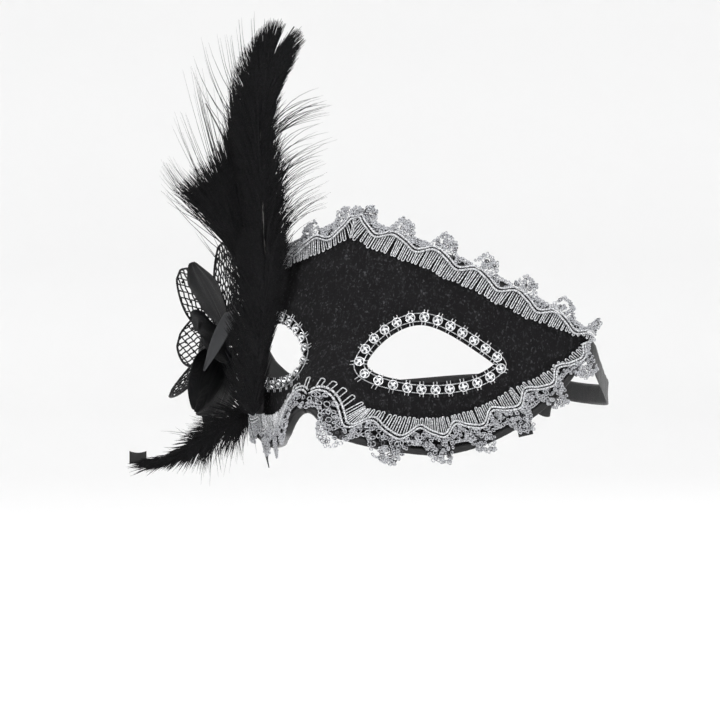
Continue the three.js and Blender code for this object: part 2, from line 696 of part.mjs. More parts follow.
const PETALS = {
  net_petal_1: { azimuth: 343, flare: 9, tier: LOWER_TIER, length: 42, halfWidth: 17 },
  net_petal_2: { azimuth: 319, flare: 34, tier: UPPER_TIER, length: 40, halfWidth: 15 },
  net_petal_3: { azimuth: 266, flare: 39, tier: UPPER_TIER, length: 40, halfWidth: 17 },
  net_petal_4: { azimuth: 214, flare: 37, tier: UPPER_TIER, length: 38, halfWidth: 17 },
  satin_petal_1: { azimuth: 8, flare: 32, tier: UPPER_TIER, length: 38, halfWidth: 15 },
  satin_petal_2: { azimuth: 88, flare: 24, tier: UPPER_TIER, length: 34, halfWidth: 16 },
  satin_petal_3: { azimuth: 278, flare: 12, tier: LOWER_TIER, length: 36, halfWidth: 16 },
  satin_petal_4: { azimuth: 152, flare: 27, tier: UPPER_TIER, length: 38, halfWidth: 17 },
  satin_petal_5: { azimuth: 182, flare: 8, tier: LOWER_TIER, length: 42, halfWidth: 16 },
};

function addPetals() {
  for (const [name, sizes] of Object.entries(PETALS)) {
    const material = name.startsWith('net') ? NET : SATIN;
    addPiece(flower, name, petalGeometry(sizes), material);
  }
}

// A narrow leaf that leaves the base under the front petal and bends down before it.
function addLeaf() {
  const curve = new THREE.CatmullRomCurve3([
    new THREE.Vector3(13, 5, 2.2), new THREE.Vector3(26, 15, 3), new THREE.Vector3(36.5, 13, 5),
    new THREE.Vector3(38, 0, 11), new THREE.Vector3(38.5, -15, 17),
  ]);
  const steps = 10;
  const sheet = (offset) => curve.getSpacedPoints(steps).map((centre, i) => {
    const share = i / steps;
    const along = curve.getTangentAt(share);
    const facing = new THREE.Vector3(share, 0, 1 - share);
    const across = new THREE.Vector3().crossVectors(along, facing).normalize();
    const face = new THREE.Vector3().crossVectors(across, along).normalize();
    const width = 0.8 + LEAF_HALF_WIDTH * Math.sin(Math.PI * share ** 1.6) ** 0.9;
    return [-1, 0, 1].map((w) => centre.clone()
      .addScaledVector(across, width * w)
      .addScaledVector(face, offset));
  });
  const leaf = plate(sheet(PETAL_WALL / 2), sheet(-PETAL_WALL / 2));
  addPiece(flower, 'satin_leaf', leaf, GREY_SATIN);
}

// A pointed satin tail that hangs from the lining under the flower.
function addSatinTail() {
  const tail = [[-5, 9], [5, 9], [5, -3], [2, -17], [-5, -5]];
  const shape = new THREE.Shape(tail.map(([x, y]) => new THREE.Vector2(x, y)));
  const geometry = new THREE.ExtrudeGeometry(shape, { depth: RIBBON_WALL, bevelEnabled: false });
  const piece = addPiece(group, 'satin_tail', geometry, GREY_SATIN);
  seatOnFace(piece, -62, CHEEK.y + 4, RIBBON_FRONT - RIBBON_WALL);
}

addFlowerMiddle();
addPetals();
addLeaf();
addSatinTail();

// ---- plume and curled feather ----------------------------------------------------------

// The feathers stand in an upright plane that is turned from the mask's front. In this
// frame x runs along that plane, y runs back from it, and the origin is the bridge.
const feathers = new THREE.Group();
feathers.rotation.z = THREE.MathUtils.degToRad(PLUME_TURN);
feathers.position.copy(facePoint(0, 0, VELVET_FRONT));
group.add(feathers);
feathers.updateMatrixWorld();

const QUILL_PAD_BACK = Math.max(BRAID_FRONT, CHAIN_FRONT) + PIECE_GAP;
const QUILL_PAD_FRONT = QUILL_PAD_BACK + QUILL_PAD.z;

// How far the pad rises towards the upright binding at the binding's ends.
function padRise() {
  const { normal } = faceFrame(QUILL_SEAT_U, QUILL_SEAT_Z);
  const middle = facePoint(QUILL_SEAT_U, QUILL_SEAT_Z, QUILL_PAD_FRONT);
  return Math.max(...[-0.5, 0.5].map((share) => {
    const step = share * QUILL_BINDING_LENGTH;
    const end = facePoint(QUILL_SEAT_U, QUILL_SEAT_Z + step, QUILL_PAD_FRONT);
    end.z -= step;
    return end.sub(middle).dot(normal);
  }));
}

const BINDING_LIFT = QUILL_PAD_FRONT + PIECE_GAP + padRise() + QUILL_BINDING_RADIUS;
const BINDING_CENTRE = feathers.worldToLocal(
  facePoint(QUILL_SEAT_U, QUILL_SEAT_Z, BINDING_LIFT));
const BINDING_END = QUILL_BINDING_LENGTH / 2 + 2 * PIECE_GAP;

function addQuillSeat() {
  const pad = facePatch(QUILL_SEAT_U, QUILL_SEAT_Z, QUILL_PAD, QUILL_PAD_BACK);
  addPiece(group, 'quill_pad', pad, FELT);
  const whipping = new THREE.CylinderGeometry(
    QUILL_BINDING_RADIUS, QUILL_BINDING_RADIUS, QUILL_BINDING_LENGTH, 12);
  whipping.rotateX(Math.PI / 2);
  addPiece(feathers, 'quill_binding', whipping, SATIN).position.copy(BINDING_CENTRE);
}

// Points of a feather, given as distances from the middle of the quill binding.
function fromBinding(points) {
  return points.map(([x, y, z]) => new THREE.Vector3(x, y, z).add(BINDING_CENTRE));
}

const FRONT_SPINE = fromBinding([
  [1.4, 0, BINDING_END], [4.6, -2.8, 20], [6.2, -5, 36], [6.7, -7.4, 76], [4.8, -7.8, 108],
  [6.7, -7.8, 136], [12.3, -7.6, 157], [20.3, -7.4, 169.7],
]);
const BACK_SPINE = fromBinding([
  [-1.5, 0, BINDING_END], [-0.6, -0.6, 24], [0.2, -0.8, 48], [0.2, 0.6, 76], [-5.9, 2, 100],
  [-12.4, 2.6, 120], [-20.4, 3, 136],
]);
const CURL_SPINE = fromBinding([
  [-1.2, 0, -BINDING_END - 0.6], [-4.5, 0, -8.8], [-11, 0, -11.6], [-20.4, 0, -17],
  [-29.7, 0, -23.8], [-39, 0, -28], [-46, 0, -29.4], [-50.5, 0, -27.6],
]);

function addQuill(name, points, steps) {
  const curve = new THREE.CatmullRomCurve3(points);
  addPiece(feathers, name, taperedTube(curve, QUILL_RADIUS, QUILL_TIP_RADIUS, steps, 6), QUILL);
  return curve;
}

// One side of a feather: a thin blade beside the quill, from one share of its length to
// another, with barbs that sweep toward the tip.
function vaneGeometry(curve, { side, width, from, to, sweep }) {
  const steps = 12;
  const back = new THREE.Vector3(0, 1, 0);
  const rings = [];
  for (let i = 0; i <= steps; i += 1) {
    const share = i / steps;
    const t = THREE.MathUtils.lerp(from, to, share);
    const centre = curve.getPointAt(t);
    const along = curve.getTangentAt(t);
    const out = new THREE.Vector3().crossVectors(back, along).normalize().multiplyScalar(side);
    const reach = 1.5 + (width - 1.5) * Math.sin(Math.PI * (0.1 + 0.8 * share ** 0.85)) ** 0.6;
    const inner = centre.clone().addScaledVector(out, QUILL_RADIUS + PIECE_GAP);
    const outer = centre.clone().addScaledVector(out, reach)
      .addScaledVector(along, sweep * share);
    const half = VANE_WALL / 2;
    rings.push([
      inner.clone().addScaledVector(back, -half), outer.clone().addScaledVector(back, -half),
      outer.clone().addScaledVector(back, half), inner.clone().addScaledVector(back, half),
    ]);
  }
  const outline = [[0, -1], [1, -1], [1, 1], [0, 1]].map(([x, y]) => new THREE.Vector2(x, y));
  return loft(rings, outline);
}

// A soft, rounded tuft along points, wide in the feathers' plane and thin across it.
function tuftGeometry(points, halfWidths, halfDepth) {
  const curve = new THREE.CatmullRomCurve3(points);
  const back = new THREE.Vector3(0, 1, 0);
  const circle = new THREE.Path().absarc(0, 0, 1, 0, 2 * Math.PI).getPoints(8).slice(0, 8);
  const rings = halfWidths.map((width, i) => {
    const t = i / (halfWidths.length - 1);
    const out = new THREE.Vector3().crossVectors(back, curve.getTangent(t)).normalize();
    return circle.map((p) => curve.getPoint(t)
      .addScaledVector(out, p.x * width)
      .addScaledVector(back, p.y * halfDepth * Math.min(1, width / halfWidths[2])));
  });
  return loft(rings, circle);
}

function addPlume() {
  const front = addQuill('front_quill', FRONT_SPINE, 24);
  const back = addQuill('back_quill', BACK_SPINE, 20);
  const vanes = {
    front_vane_left: [front, { side: -1, width: 9, from: 0.36, to: 0.97, sweep: 2 }],
    front_vane_right: [front, { side: 1, width: 16, from: 0.36, to: 0.97, sweep: 2 }],
    back_vane_left: [back, { side: -1, width: 22, from: 0.42, to: 0.97, sweep: 2 }],
    back_vane_right: [back, { side: 1, width: 8, from: 0.42, to: 0.97, sweep: 2 }],
  };
  for (const [name, [curve, sizes]] of Object.entries(vanes)) {
    addPiece(feathers, name, vaneGeometry(curve, sizes), FEATHER);
  }
  const down = fromBinding([[1.6, -11, 12], [2.6, -12, 34], [4.2, -13, 60], [5.6, -13, 84]]);
  addPiece(feathers, 'plume_down', tuftGeometry(down, [4, 7, 8, 8.5, 8, 4], 3.2), FEATHER);
}

function addCurl() {
  addQuill('curl_quill', CURL_SPINE, 18);
  const down = fromBinding([[-9, -5, -10], [-16, -5, -14.5], [-24, -5, -20.5]]);
  addPiece(feathers, 'curl_down', tuftGeometry(down, [2, 4.5, 5.5, 4.5, 2], 2.6), FEATHER);
  const flag = addPiece(feathers, 'curl_flag', roundedPlate(4.6, 5.4, 0.6, 0.8), SATIN);
  flag.rotation.x = Math.PI / 2;
  flag.position.copy(fromBinding([[-53.4, 0.3, -25.6]])[0]);
}

addQuillSeat();
addPlume();
addCurl();

export default group;
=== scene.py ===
"""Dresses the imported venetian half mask: cloth, braid, stones, flower, feathers and ties.

Lengths are in millimetres in the pattern and sizes below. MM turns them into the frame's
metres. The mask faces -Y, +Z is up and +X is the wearer's left.
"""

import logging
import math
from dataclasses import dataclass, field
from enum import Enum
from typing import Callable, Sequence

import bmesh
import bpy
import numpy as np
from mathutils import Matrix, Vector


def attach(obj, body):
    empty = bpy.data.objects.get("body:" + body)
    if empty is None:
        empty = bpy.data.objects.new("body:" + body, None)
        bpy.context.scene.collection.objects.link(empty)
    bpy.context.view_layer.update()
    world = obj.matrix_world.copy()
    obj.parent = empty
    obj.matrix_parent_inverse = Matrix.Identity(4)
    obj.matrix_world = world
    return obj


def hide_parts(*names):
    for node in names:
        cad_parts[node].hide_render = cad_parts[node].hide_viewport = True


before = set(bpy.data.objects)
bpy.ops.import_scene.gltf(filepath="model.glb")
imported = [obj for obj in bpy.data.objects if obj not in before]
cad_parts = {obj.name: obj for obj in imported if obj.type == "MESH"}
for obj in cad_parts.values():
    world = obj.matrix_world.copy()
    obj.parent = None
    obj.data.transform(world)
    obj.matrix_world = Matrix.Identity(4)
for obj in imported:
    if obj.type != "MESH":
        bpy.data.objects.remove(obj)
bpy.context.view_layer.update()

MM = 0.001
SEED = 20
LOG = logging.getLogger("mask")
Array = np.ndarray
Pair = tuple[float, float]
Triple = tuple[float, float, float]
Pairs = tuple[Pair, ...]
Route = tuple[Triple, ...]
Random = np.random.Generator
Object = bpy.types.Object
Tree = bpy.types.NodeTree
Node = bpy.types.Node
Socket = bpy.types.NodeSocket


class Side(Enum):
    """Which half of the mask a piece is on, with the sign of its x."""

    LEFT = 1
    RIGHT = -1

    @property
    def word(self) -> str:
        """The side's word in piece names."""
        return self.name.lower()


class Body(Enum):
    """The bodies of the frame."""

    ROOT = "root"
    PLUME = "plume"
    CURL = "curl"


# ---- curves and arrays -------------------------------------------------------------------


def lerp(a: float | Array, b: float | Array, t: float | Array) -> float | Array:
    """Returns the value a share t of the way from a to b."""
    return a + (b - a) * t


def unit(v: Array) -> Array:
    """Returns vectors along the last axis at unit length."""
    return v / np.maximum(np.linalg.norm(v, axis=-1, keepdims=True), 1e-12)


def smooth(t: float | Array) -> float | Array:
    """Returns a smooth step from 0 to 1."""
    t = np.clip(t, 0.0, 1.0)
    return t * t * (3.0 - 2.0 * t)


def cubic(start: Sequence[float], out: Sequence[float], into: Sequence[float],
          end: Sequence[float], count: int = 60) -> Array:
    """Samples a cubic curve whose handles are given as steps from its own ends.

    Args:
        start: First point.
        out: Step from the first point to its handle.
        into: Step from the last point to its handle.
        end: Last point.
        count: Number of spans.

    Returns:
        The count + 1 points.
    """
    p0, p3 = np.array(start, float), np.array(end, float)
    p1, p2 = p0 + np.array(out), p3 + np.array(into)
    t = np.linspace(0, 1, count + 1)[:, None]
    return ((1 - t) ** 3 * p0 + 3 * (1 - t) ** 2 * t * p1
            + 3 * (1 - t) * t ** 2 * p2 + t ** 3 * p3)


def resample(points: Array, count: int) -> Array:
    """Returns count + 1 points evenly spaced along a line of points."""
    steps = np.linalg.norm(np.diff(points, axis=0), axis=1)
    along = np.concatenate([[0.0], np.cumsum(steps)])
    wanted = np.linspace(0, along[-1], count + 1)
    return np.stack([np.interp(wanted, along, points[:, k])
                     for k in range(points.shape[1])], axis=1)


def line_length(points: Array) -> float:
    """Returns the length of a line of points."""
    return float(np.linalg.norm(np.diff(points, axis=0), axis=1).sum())


def between(a: Array, b: Array, start: float, end: float, t: Array) -> Array:
    """Returns the point that is a at the knot start and b at the knot end, at knots t."""
    return (end - t) / (end - start) * a + (t - start) / (end - start) * b


def through(points: Sequence[Sequence[float]], count: int) -> Array:
    """Returns a smooth centripetal curve through points, evenly spaced.

    Args:
        points: The points that the curve passes.
        count: Number of spans in the result.

    Returns:
        The count + 1 points.
    """
    p = np.array(points, float)
    p = np.vstack([2 * p[0] - p[1], p, 2 * p[-1] - p[-2]])
    parts = []
    for i in range(1, len(p) - 2):
        knots = [0.0]
        for a, b in ((i - 1, i), (i, i + 1), (i + 1, i + 2)):
            knots.append(knots[-1] + math.sqrt(np.linalg.norm(p[b] - p[a])))
        t0, t1, t2, t3 = knots
        t = np.linspace(t1, t2, 24)[:, None]
        a1 = between(p[i - 1], p[i], t0, t1, t)
        a2 = between(p[i], p[i + 1], t1, t2, t)
        a3 = between(p[i + 1], p[i + 2], t2, t3, t)
        parts.append(between(between(a1, a2, t0, t2, t), between(a2, a3, t1, t3, t), t1, t2, t))
    return resample(np.vstack(parts), count)


def tangents(path: Array) -> Array:
    """Returns unit tangents along the second last axis of paths."""
    return unit(np.gradient(path, axis=-2))


# ---- mesh making -------------------------------------------------------------------------


class MeshDraft:
    """Gathers points and faces, each face group with its material slot, for one piece."""

    def __init__(self) -> None:
        """Starts an empty draft."""
        self.points: list[Array] = []
        self.faces: list[tuple[Array, int]] = []
        self.count = 0

    def add(self, points: Array, faces: Sequence[Array], slot: int | Sequence[int] = 0) -> None:
        """Adds points and the faces among them.

        Args:
            points: Points in metres, shape (n, 3).
            faces: Arrays of corner numbers, each of shape (m, corners).
            slot: Material slot of all these faces, or one slot for each array.
        """
        self.points.append(points.reshape(-1, 3))
        slots = [slot] * len(faces) if isinstance(slot, int) else slot
        for group, number in zip(faces, slots):
            if len(group):
                self.faces.append((np.asarray(group) + self.count, number))
        self.count += len(self.points[-1])

    def grid(self, points: Array, slot: int = 0, round_rows: bool = False,
             round_columns: bool = False, keep: Array | None = None) -> None:
        """Adds a net of quads over a grid of points.

        Args:
            points: Points in metres, shape (rows, columns, 3).
            slot: Material slot.
            round_rows: Joins the last row to the first.
            round_columns: Joins the last column to the first.
            keep: Which cells to keep, shape of the cells; all of them by default.
        """
        rows, columns = points.shape[:2]
        index = np.arange(rows * columns).reshape(rows, columns)
        if round_rows:
            index = np.vstack([index, index[:1]])
        if round_columns:
            index = np.hstack([index, index[:, :1]])
        cells = np.stack([index[:-1, :-1], index[:-1, 1:], index[1:, 1:], index[1:, :-1]], -1)
        cells = cells.reshape(-1, 4) if keep is None else cells[keep]
        self.add(points, [cells], slot)

    def turned(self, rings: Array) -> None:
        """Adds a skin over rings of points, shape (rings, points, 3), closed at both ends."""
        self.grid(rings, round_columns=True)
        count = rings.shape[1]
        first = np.arange(count)[None]
        self.faces.append((first[:, ::-1], 0))
        self.faces.append((first + (len(rings) - 1) * count, 0))

    def tubes(self, paths: Array, radii: Array | float, facing: Array, sides: int = 5,
              flat: float = 1.0, slot: int = 0) -> None:
        """Adds closed tubes along many paths of the same number of points.

        Args:
            paths: Points in metres, shape (tubes, points, 3).
            radii: Radii in metres, broadcast to (tubes, points).
            facing: A direction that the tubes' flat side faces, broadcast to the paths.
            sides: Number of sides.
            flat: Thickness along facing as a share of the width.
            slot: Material slot.
        """
        paths = np.asarray(paths, float)
        if paths.ndim == 2:
            paths = paths[None]
        number, steps = paths.shape[:2]
        radii = np.broadcast_to(radii, (number, steps))[..., None, None]
        along = tangents(paths)
        side = unit(np.cross(along, np.broadcast_to(facing, paths.shape)))
        up = np.cross(side, along)
        turn = 2 * np.pi * (np.arange(sides) + 0.5) / sides
        ring = (side[:, :, None] * np.cos(turn)[None, None, :, None]
                + up[:, :, None] * (flat * np.sin(turn))[None, None, :, None])
        points = paths[:, :, None] + ring * radii
        base = np.arange(number)[:, None, None] * (steps * sides)
        i = np.arange(steps - 1)[None, :, None] * sides
        k = np.arange(sides)[None, None, :]
        m = (k + 1) % sides
        quads = np.stack([base + i + k, base + i + m, base + i + sides + m,
                          base + i + sides + k], -1).reshape(-1, 4)
        first = np.arange(sides)[::-1] + np.arange(number)[:, None] * (steps * sides)
        last = np.arange(sides) + (np.arange(number)[:, None] * steps + steps - 1) * sides
        self.add(points.reshape(-1, 3), [quads, first, last], slot)

    def plates(self, front: Array, back: Array, slot: int = 0) -> None:
        """Adds a closed sheet between two grids of matching points.

        Args:
            front: Points in metres, shape (rows, columns, 3).
            back: The matching points of the other face.
            slot: Material slot.
        """
        rows, columns = front.shape[:2]
        size = rows * columns
        index = np.arange(size).reshape(rows, columns)
        cells = np.stack([index[:-1, :-1], index[:-1, 1:], index[1:, 1:], index[1:, :-1]],
                         -1).reshape(-1, 4)
        rim = np.concatenate([index[0, :-1], index[:-1, -1], index[-1, :0:-1],
                              index[:0:-1, 0]])
        after = np.roll(rim, -1)
        wall = np.stack([rim, rim + size, after + size, after], -1)
        points = np.vstack([front.reshape(-1, 3), back.reshape(-1, 3)])
        self.add(points, [cells, cells[:, ::-1] + size, wall], slot)

    def build(self, name: str, finishes: Sequence["Finish"], body: Body = Body.ROOT,
              replaces: Sequence[str] = (), slot: str | None = None,
              weld: bool = False, shade_smooth: bool = True) -> Object:
        """Makes the piece with its faces turned outward, dresses it and sets it on its body.

        Args:
            name: The piece's name.
            finishes: One finish for each material slot.
            body: The body that it rides on.
            replaces: CAD nodes that it stands for.
            slot: The record's material slot; not used.
            weld: Joins points that lie together.
            shade_smooth: Shades its faces smooth.

        Returns:
            The new object.
        """
        points = np.vstack(self.points).astype(np.float32)
        mesh = bpy.data.meshes.new(name)
        mesh.vertices.add(len(points))
        mesh.vertices.foreach_set("co", points.ravel())
        corners = np.concatenate([group.ravel() for group, _ in self.faces])
        totals = np.concatenate([np.full(len(g), g.shape[1]) for g, _ in self.faces])
        slots = np.concatenate([np.full(len(g), s) for g, s in self.faces])
        mesh.loops.add(len(corners))
        mesh.loops.foreach_set("vertex_index", corners.astype(np.int32))
        mesh.polygons.add(len(totals))
        starts = np.concatenate([[0], np.cumsum(totals)[:-1]]).astype(np.int32)
        mesh.polygons.foreach_set("loop_start", starts)
        mesh.polygons.foreach_set("material_index", slots.astype(np.int32))
        mesh.polygons.foreach_set("use_smooth", np.full(len(totals), shade_smooth))
        mesh.update(calc_edges=True)
        mesh.validate()
        for finish in finishes:
            mesh.materials.append(finish.material())
        piece = add_object(name, mesh)
        work = bmesh.new()
        work.from_mesh(mesh)
        if weld:
            bmesh.ops.remove_doubles(work, verts=work.verts, dist=2e-6)
        bmesh.ops.recalc_face_normals(work, faces=work.faces)
        work.to_mesh(mesh)
        work.free()
        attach(piece, body.value)
        if replaces:
            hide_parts(*replaces)
        LOG.info("%s: %d faces on %s", name, len(mesh.polygons), body.value)
        return piece


def soft_square(count: int) -> tuple[Array, Array, Array, Array]:
    """Lays out a square grid from -1 to 1 that can be drawn in to a rounded outline.

    Args:
        count: Points along each side.

    Returns:
        The places across and up, the share that rounds them, and how near the rim they are.
    """
    axis = np.linspace(-1, 1, count)
    across, up = np.meshgrid(axis, axis)
    rim = np.maximum(np.abs(across), np.abs(up))
    corner = (np.abs(across) ** 5 + np.abs(up) ** 5) ** 0.2
    return across, up, rim / np.maximum(corner, 1e-9), rim


def add_object(name: str, data: bpy.types.ID) -> Object:
    """Adds an object with its data to the scene and returns it."""
    made = bpy.data.objects.new(name, data)
    bpy.context.scene.collection.objects.link(made)
    return made


def grid_area(points: Array) -> float:
    """Returns the area of a grid of points, shape (rows, columns, 3)."""
    across = np.diff(points, axis=1)[:-1]
    down = np.diff(points, axis=0)[:, :-1]
    return float(np.linalg.norm(np.cross(across, down), axis=-1).sum())


# ---- shader node groups ------------------------------------------------------------------


def new_group(name: str, inputs: dict[str, float], outputs: dict[str, str]
              ) -> tuple[Tree, Node, Node]:
    """Makes an empty shader group with float inputs and named outputs.

    Args:
        name: The group's name.
        inputs: Input names and their default values.
        outputs: Output names and socket types.

    Returns:
        The group, its input node and its output node.
    """
    group = bpy.data.node_groups.new(name, "ShaderNodeTree")
    for label, value in inputs.items():
        socket = group.interface.new_socket(label, in_out="INPUT",
                                            socket_type="NodeSocketFloat")
        socket.default_value = value
    for label, kind in outputs.items():
        group.interface.new_socket(label, in_out="OUTPUT", socket_type=kind)
    return group, group.nodes.new("NodeGroupInput"), group.nodes.new("NodeGroupOutput")


def object_points(tree: Tree, stretch: Sequence[float] = (1, 1, 1)) -> Socket:
    """Adds object coordinates, stretched along each axis, and returns their socket."""
    place = tree.nodes.new("ShaderNodeTexCoord")
    mapping = tree.nodes.new("ShaderNodeMapping")
    mapping.inputs["Scale"].default_value = stretch
    tree.links.new(place.outputs["Object"], mapping.inputs["Vector"])
    return mapping.outputs["Vector"]


def noise(tree: Tree, points: Socket,
          scale: Socket | float, detail: float = 3.0,
          roughness: float = 0.55) -> Socket:
    """Adds a noise texture over points and returns its value socket.

    Args:
        tree: The node tree.
        points: Socket of the coordinates.
        scale: Repeats in a metre, as a number or a socket.
        detail: Octaves.
        roughness: Strength of the finer octaves.

    Returns:
        The noise value's socket.
    """
    node = tree.nodes.new("ShaderNodeTexNoise")
    node.inputs["Detail"].default_value = detail
    node.inputs["Roughness"].default_value = roughness
    tree.links.new(points, node.inputs["Vector"])
    connect(tree, scale, node.inputs["Scale"])
    return node.outputs["Fac"]


def connect(tree: Tree, value: Socket | float, socket: Socket) -> None:
    """Links a socket, or sets a number, on another socket."""
    if isinstance(value, Socket):
        tree.links.new(value, socket)
    else:
        socket.default_value = value


def ramp(tree: Tree, value: Socket, low: float, high: float,
         to_low: float = 0.0, to_high: float = 1.0) -> Socket:
    """Maps a value from one range to another, held at both ends.

    Args:
        tree: The node tree.
        value: The value's socket.
        low: Start of the range.
        high: End of the range.
        to_low: Result at the start.
        to_high: Result at the end.

    Returns:
        The result's socket.
    """
    node = tree.nodes.new("ShaderNodeMapRange")
    for label, number in (("From Min", low), ("From Max", high),
                          ("To Min", to_low), ("To Max", to_high)):
        node.inputs[label].default_value = number
    tree.links.new(value, node.inputs["Value"])
    return node.outputs["Result"]


def maths(tree: Tree, kind: str, a: Socket | float, b: Socket | float) -> Socket:
    """Adds a maths node of the given kind and returns its value socket."""
    node = tree.nodes.new("ShaderNodeMath")
    node.operation = kind
    connect(tree, a, node.inputs[0])
    connect(tree, b, node.inputs[1])
    return node.outputs[0]


def mixed(tree: Tree, share: Socket,
          low: Sequence[float] | Socket, high: Sequence[float]
          ) -> Socket:
    """Mixes two colours by a varying share and returns the colour socket."""
    node = tree.nodes.new("ShaderNodeMix")
    node.data_type = "RGBA"
    tree.links.new(share, node.inputs[0])
    if isinstance(low, Socket):
        tree.links.new(low, node.inputs[6])
    else:
        node.inputs[6].default_value = (*low, 1.0)
    node.inputs[7].default_value = (*high, 1.0)
    return node.outputs[2]


def fibre_group() -> Tree:
    """Builds the group of short fibres: a fine height and a cloudy mask."""
    found = bpy.data.node_groups.get("fibre")
    if found:
        return found
    tree, source, result = new_group(
        "fibre", {"Fineness": 2500.0, "Cloud": 60.0},
        {"Height": "NodeSocketFloat", "Mask": "NodeSocketFloat"})
    points = object_points(tree)
    fine = noise(tree, points, source.outputs["Fineness"], 2.0)
    cloud = noise(tree, points, source.outputs["Cloud"], 3.0)
    tree.links.new(fine, result.inputs["Height"])
    tree.links.new(ramp(tree, cloud, 0.4, 0.64), result.inputs["Mask"])
    return tree


def weave_group() -> Tree:
    """Builds the group of woven cloth: a warp-and-weft height and a slub mask."""
    found = bpy.data.node_groups.get("weave")
    if found:
        return found
    tree, source, result = new_group(
        "weave", {"Threads": 3000.0, "Slub": 220.0},
        {"Height": "NodeSocketFloat", "Mask": "NodeSocketFloat"})
    points = object_points(tree)
    heights = []
    for direction in ("X", "Z"):
        wave = tree.nodes.new("ShaderNodeTexWave")
        wave.bands_direction = direction
        wave.inputs["Distortion"].default_value = 1.2
        tree.links.new(points, wave.inputs["Vector"])
        tree.links.new(source.outputs["Threads"], wave.inputs["Scale"])
        heights.append(wave.outputs["Fac"])
    slub = noise(tree, object_points(tree, (1, 1, 0.25)), source.outputs["Slub"], 4.0, 0.7)
    tree.links.new(maths(tree, "MULTIPLY", *heights), result.inputs["Height"])
    tree.links.new(ramp(tree, slub, 0.35, 0.7), result.inputs["Mask"])
    return tree


def use_group(tree: Tree, group: Tree, **values: float) -> Node:
    """Places a group in a material with its own input values.

    Args:
        tree: The material's tree.
        group: The group.
        values: Input values by name.

    Returns:
        The group node.
    """
    node = tree.nodes.new("ShaderNodeGroup")
    node.node_tree = group
    for label, value in values.items():
        node.inputs[label].default_value = value
    return node


# ---- finishes ----------------------------------------------------------------------------


@dataclass(frozen=True)
class Finish:
    """A procedural material: constants in its fields, variation from its dress method."""

    name: str
    color: Triple
    roughness: float = 0.5
    metallic: float = 0.0
    coat: float = 0.0
    anisotropic: float = 0.0
    transmission: float = 0.0
    specular: float = 0.25
    bump: float = 0.3
    bump_depth: float = 0.1

    def material(self) -> bpy.types.Material:
        """Returns the material, made the first time it is asked for."""
        made = bpy.data.materials.get(self.name)
        if made:
            return made
        made = bpy.data.materials.new(self.name)
        made.use_nodes = True
        tree = made.node_tree
        shader = tree.nodes["Principled BSDF"]
        shader.inputs["Base Color"].default_value = (*self.color, 1.0)
        for label, value in (("Roughness", self.roughness), ("Metallic", self.metallic),
                             ("Coat Weight", self.coat), ("Anisotropic", self.anisotropic),
                             ("Specular IOR Level", self.specular),
                             ("Transmission Weight", self.transmission)):
            shader.inputs[label].default_value = value
        self.dress(tree, shader)
        return made

    def dress(self, tree: Tree, shader: Node) -> None:
        """Adds the finish's own variation; each kind of finish has its own.

        Args:
            tree: The material's tree.
            shader: Its Principled shader.
        """
        fibre = use_group(tree, fibre_group(), Fineness=1800.0, Cloud=90.0)
        self.add_bump(tree, shader, fibre.outputs["Height"])

    def add_bump(self, tree: Tree, shader: Node, height: Socket) -> None:
        """Feeds a height through a Bump node to the shader's normal.

        Args:
            tree: The material's tree.
            shader: Its Principled shader.
            height: The height's socket.
        """
        bump = tree.nodes.new("ShaderNodeBump")
        bump.inputs["Strength"].default_value = self.bump
        bump.inputs["Distance"].default_value = self.bump_depth * MM
        tree.links.new(height, bump.inputs["Height"])
        tree.links.new(bump.outputs["Normal"], shader.inputs["Normal"])


@dataclass(frozen=True)
class Velvet(Finish):
    """Crushed velvet brocade with fine bright flecks gathered in soft patches."""

    patch: Triple = (0.03, 0.03, 0.033)
    fleck: Triple = (0.42, 0.43, 0.45)

    def dress(self, tree: Tree, shader: Node) -> None:
        """Adds patches, flecks with a little metal in them, and the pile's bump."""
        fibre = use_group(tree, fibre_group(), Fineness=1700.0, Cloud=85.0)
        upright = object_points(tree, (1.0, 1.0, 0.55))
        grain = noise(tree, upright, 620.0, 2.0, 0.7)
        streak = noise(tree, upright, 260.0, 3.0, 0.6)
        patchy = maths(tree, "MULTIPLY", fibre.outputs["Mask"], ramp(tree, streak, 0.42, 0.62))
        lit = maths(tree, "ADD", ramp(tree, grain, 0.56, 0.66),
                    maths(tree, "MULTIPLY", patchy, 0.35))
        dots = noise(tree, object_points(tree, (1.0, 1.0, 0.85)), 950.0, 1.0)
        bright = maths(tree, "MULTIPLY", ramp(tree, dots, 0.58, 0.74),
                       ramp(tree, streak, 0.4, 0.62, 0.15, 1.0))
        cloth = mixed(tree, maths(tree, "MULTIPLY", lit, 0.8), self.color, self.patch)
        tree.links.new(mixed(tree, bright, cloth, self.fleck), shader.inputs["Base Color"])
        tree.links.new(ramp(tree, bright, 0.0, 1.0, self.roughness, 0.35),
                       shader.inputs["Roughness"])
        tree.links.new(ramp(tree, bright, 0.0, 1.0, 0.0, 0.4), shader.inputs["Metallic"])
        self.add_bump(tree, shader, grain)


@dataclass(frozen=True)
class Cloth(Finish):
    """Woven satin or taffeta with slubs that change its tone."""

    slub: Triple = (0.03, 0.03, 0.032)
    slub_share: float = 0.5
    threads: float = 3000.0

    def dress(self, tree: Tree, shader: Node) -> None:
        """Adds the weave's bump and the slubs' tone and gloss."""
        weave = use_group(tree, weave_group(), Threads=self.threads, Slub=260.0)
        share = maths(tree, "MULTIPLY", weave.outputs["Mask"], self.slub_share)
        tree.links.new(mixed(tree, share, self.color, self.slub), shader.inputs["Base Color"])
        tree.links.new(ramp(tree, weave.outputs["Mask"], 0, 1, self.roughness,
                            self.roughness + 0.15), shader.inputs["Roughness"])
        self.add_bump(tree, shader, weave.outputs["Height"])


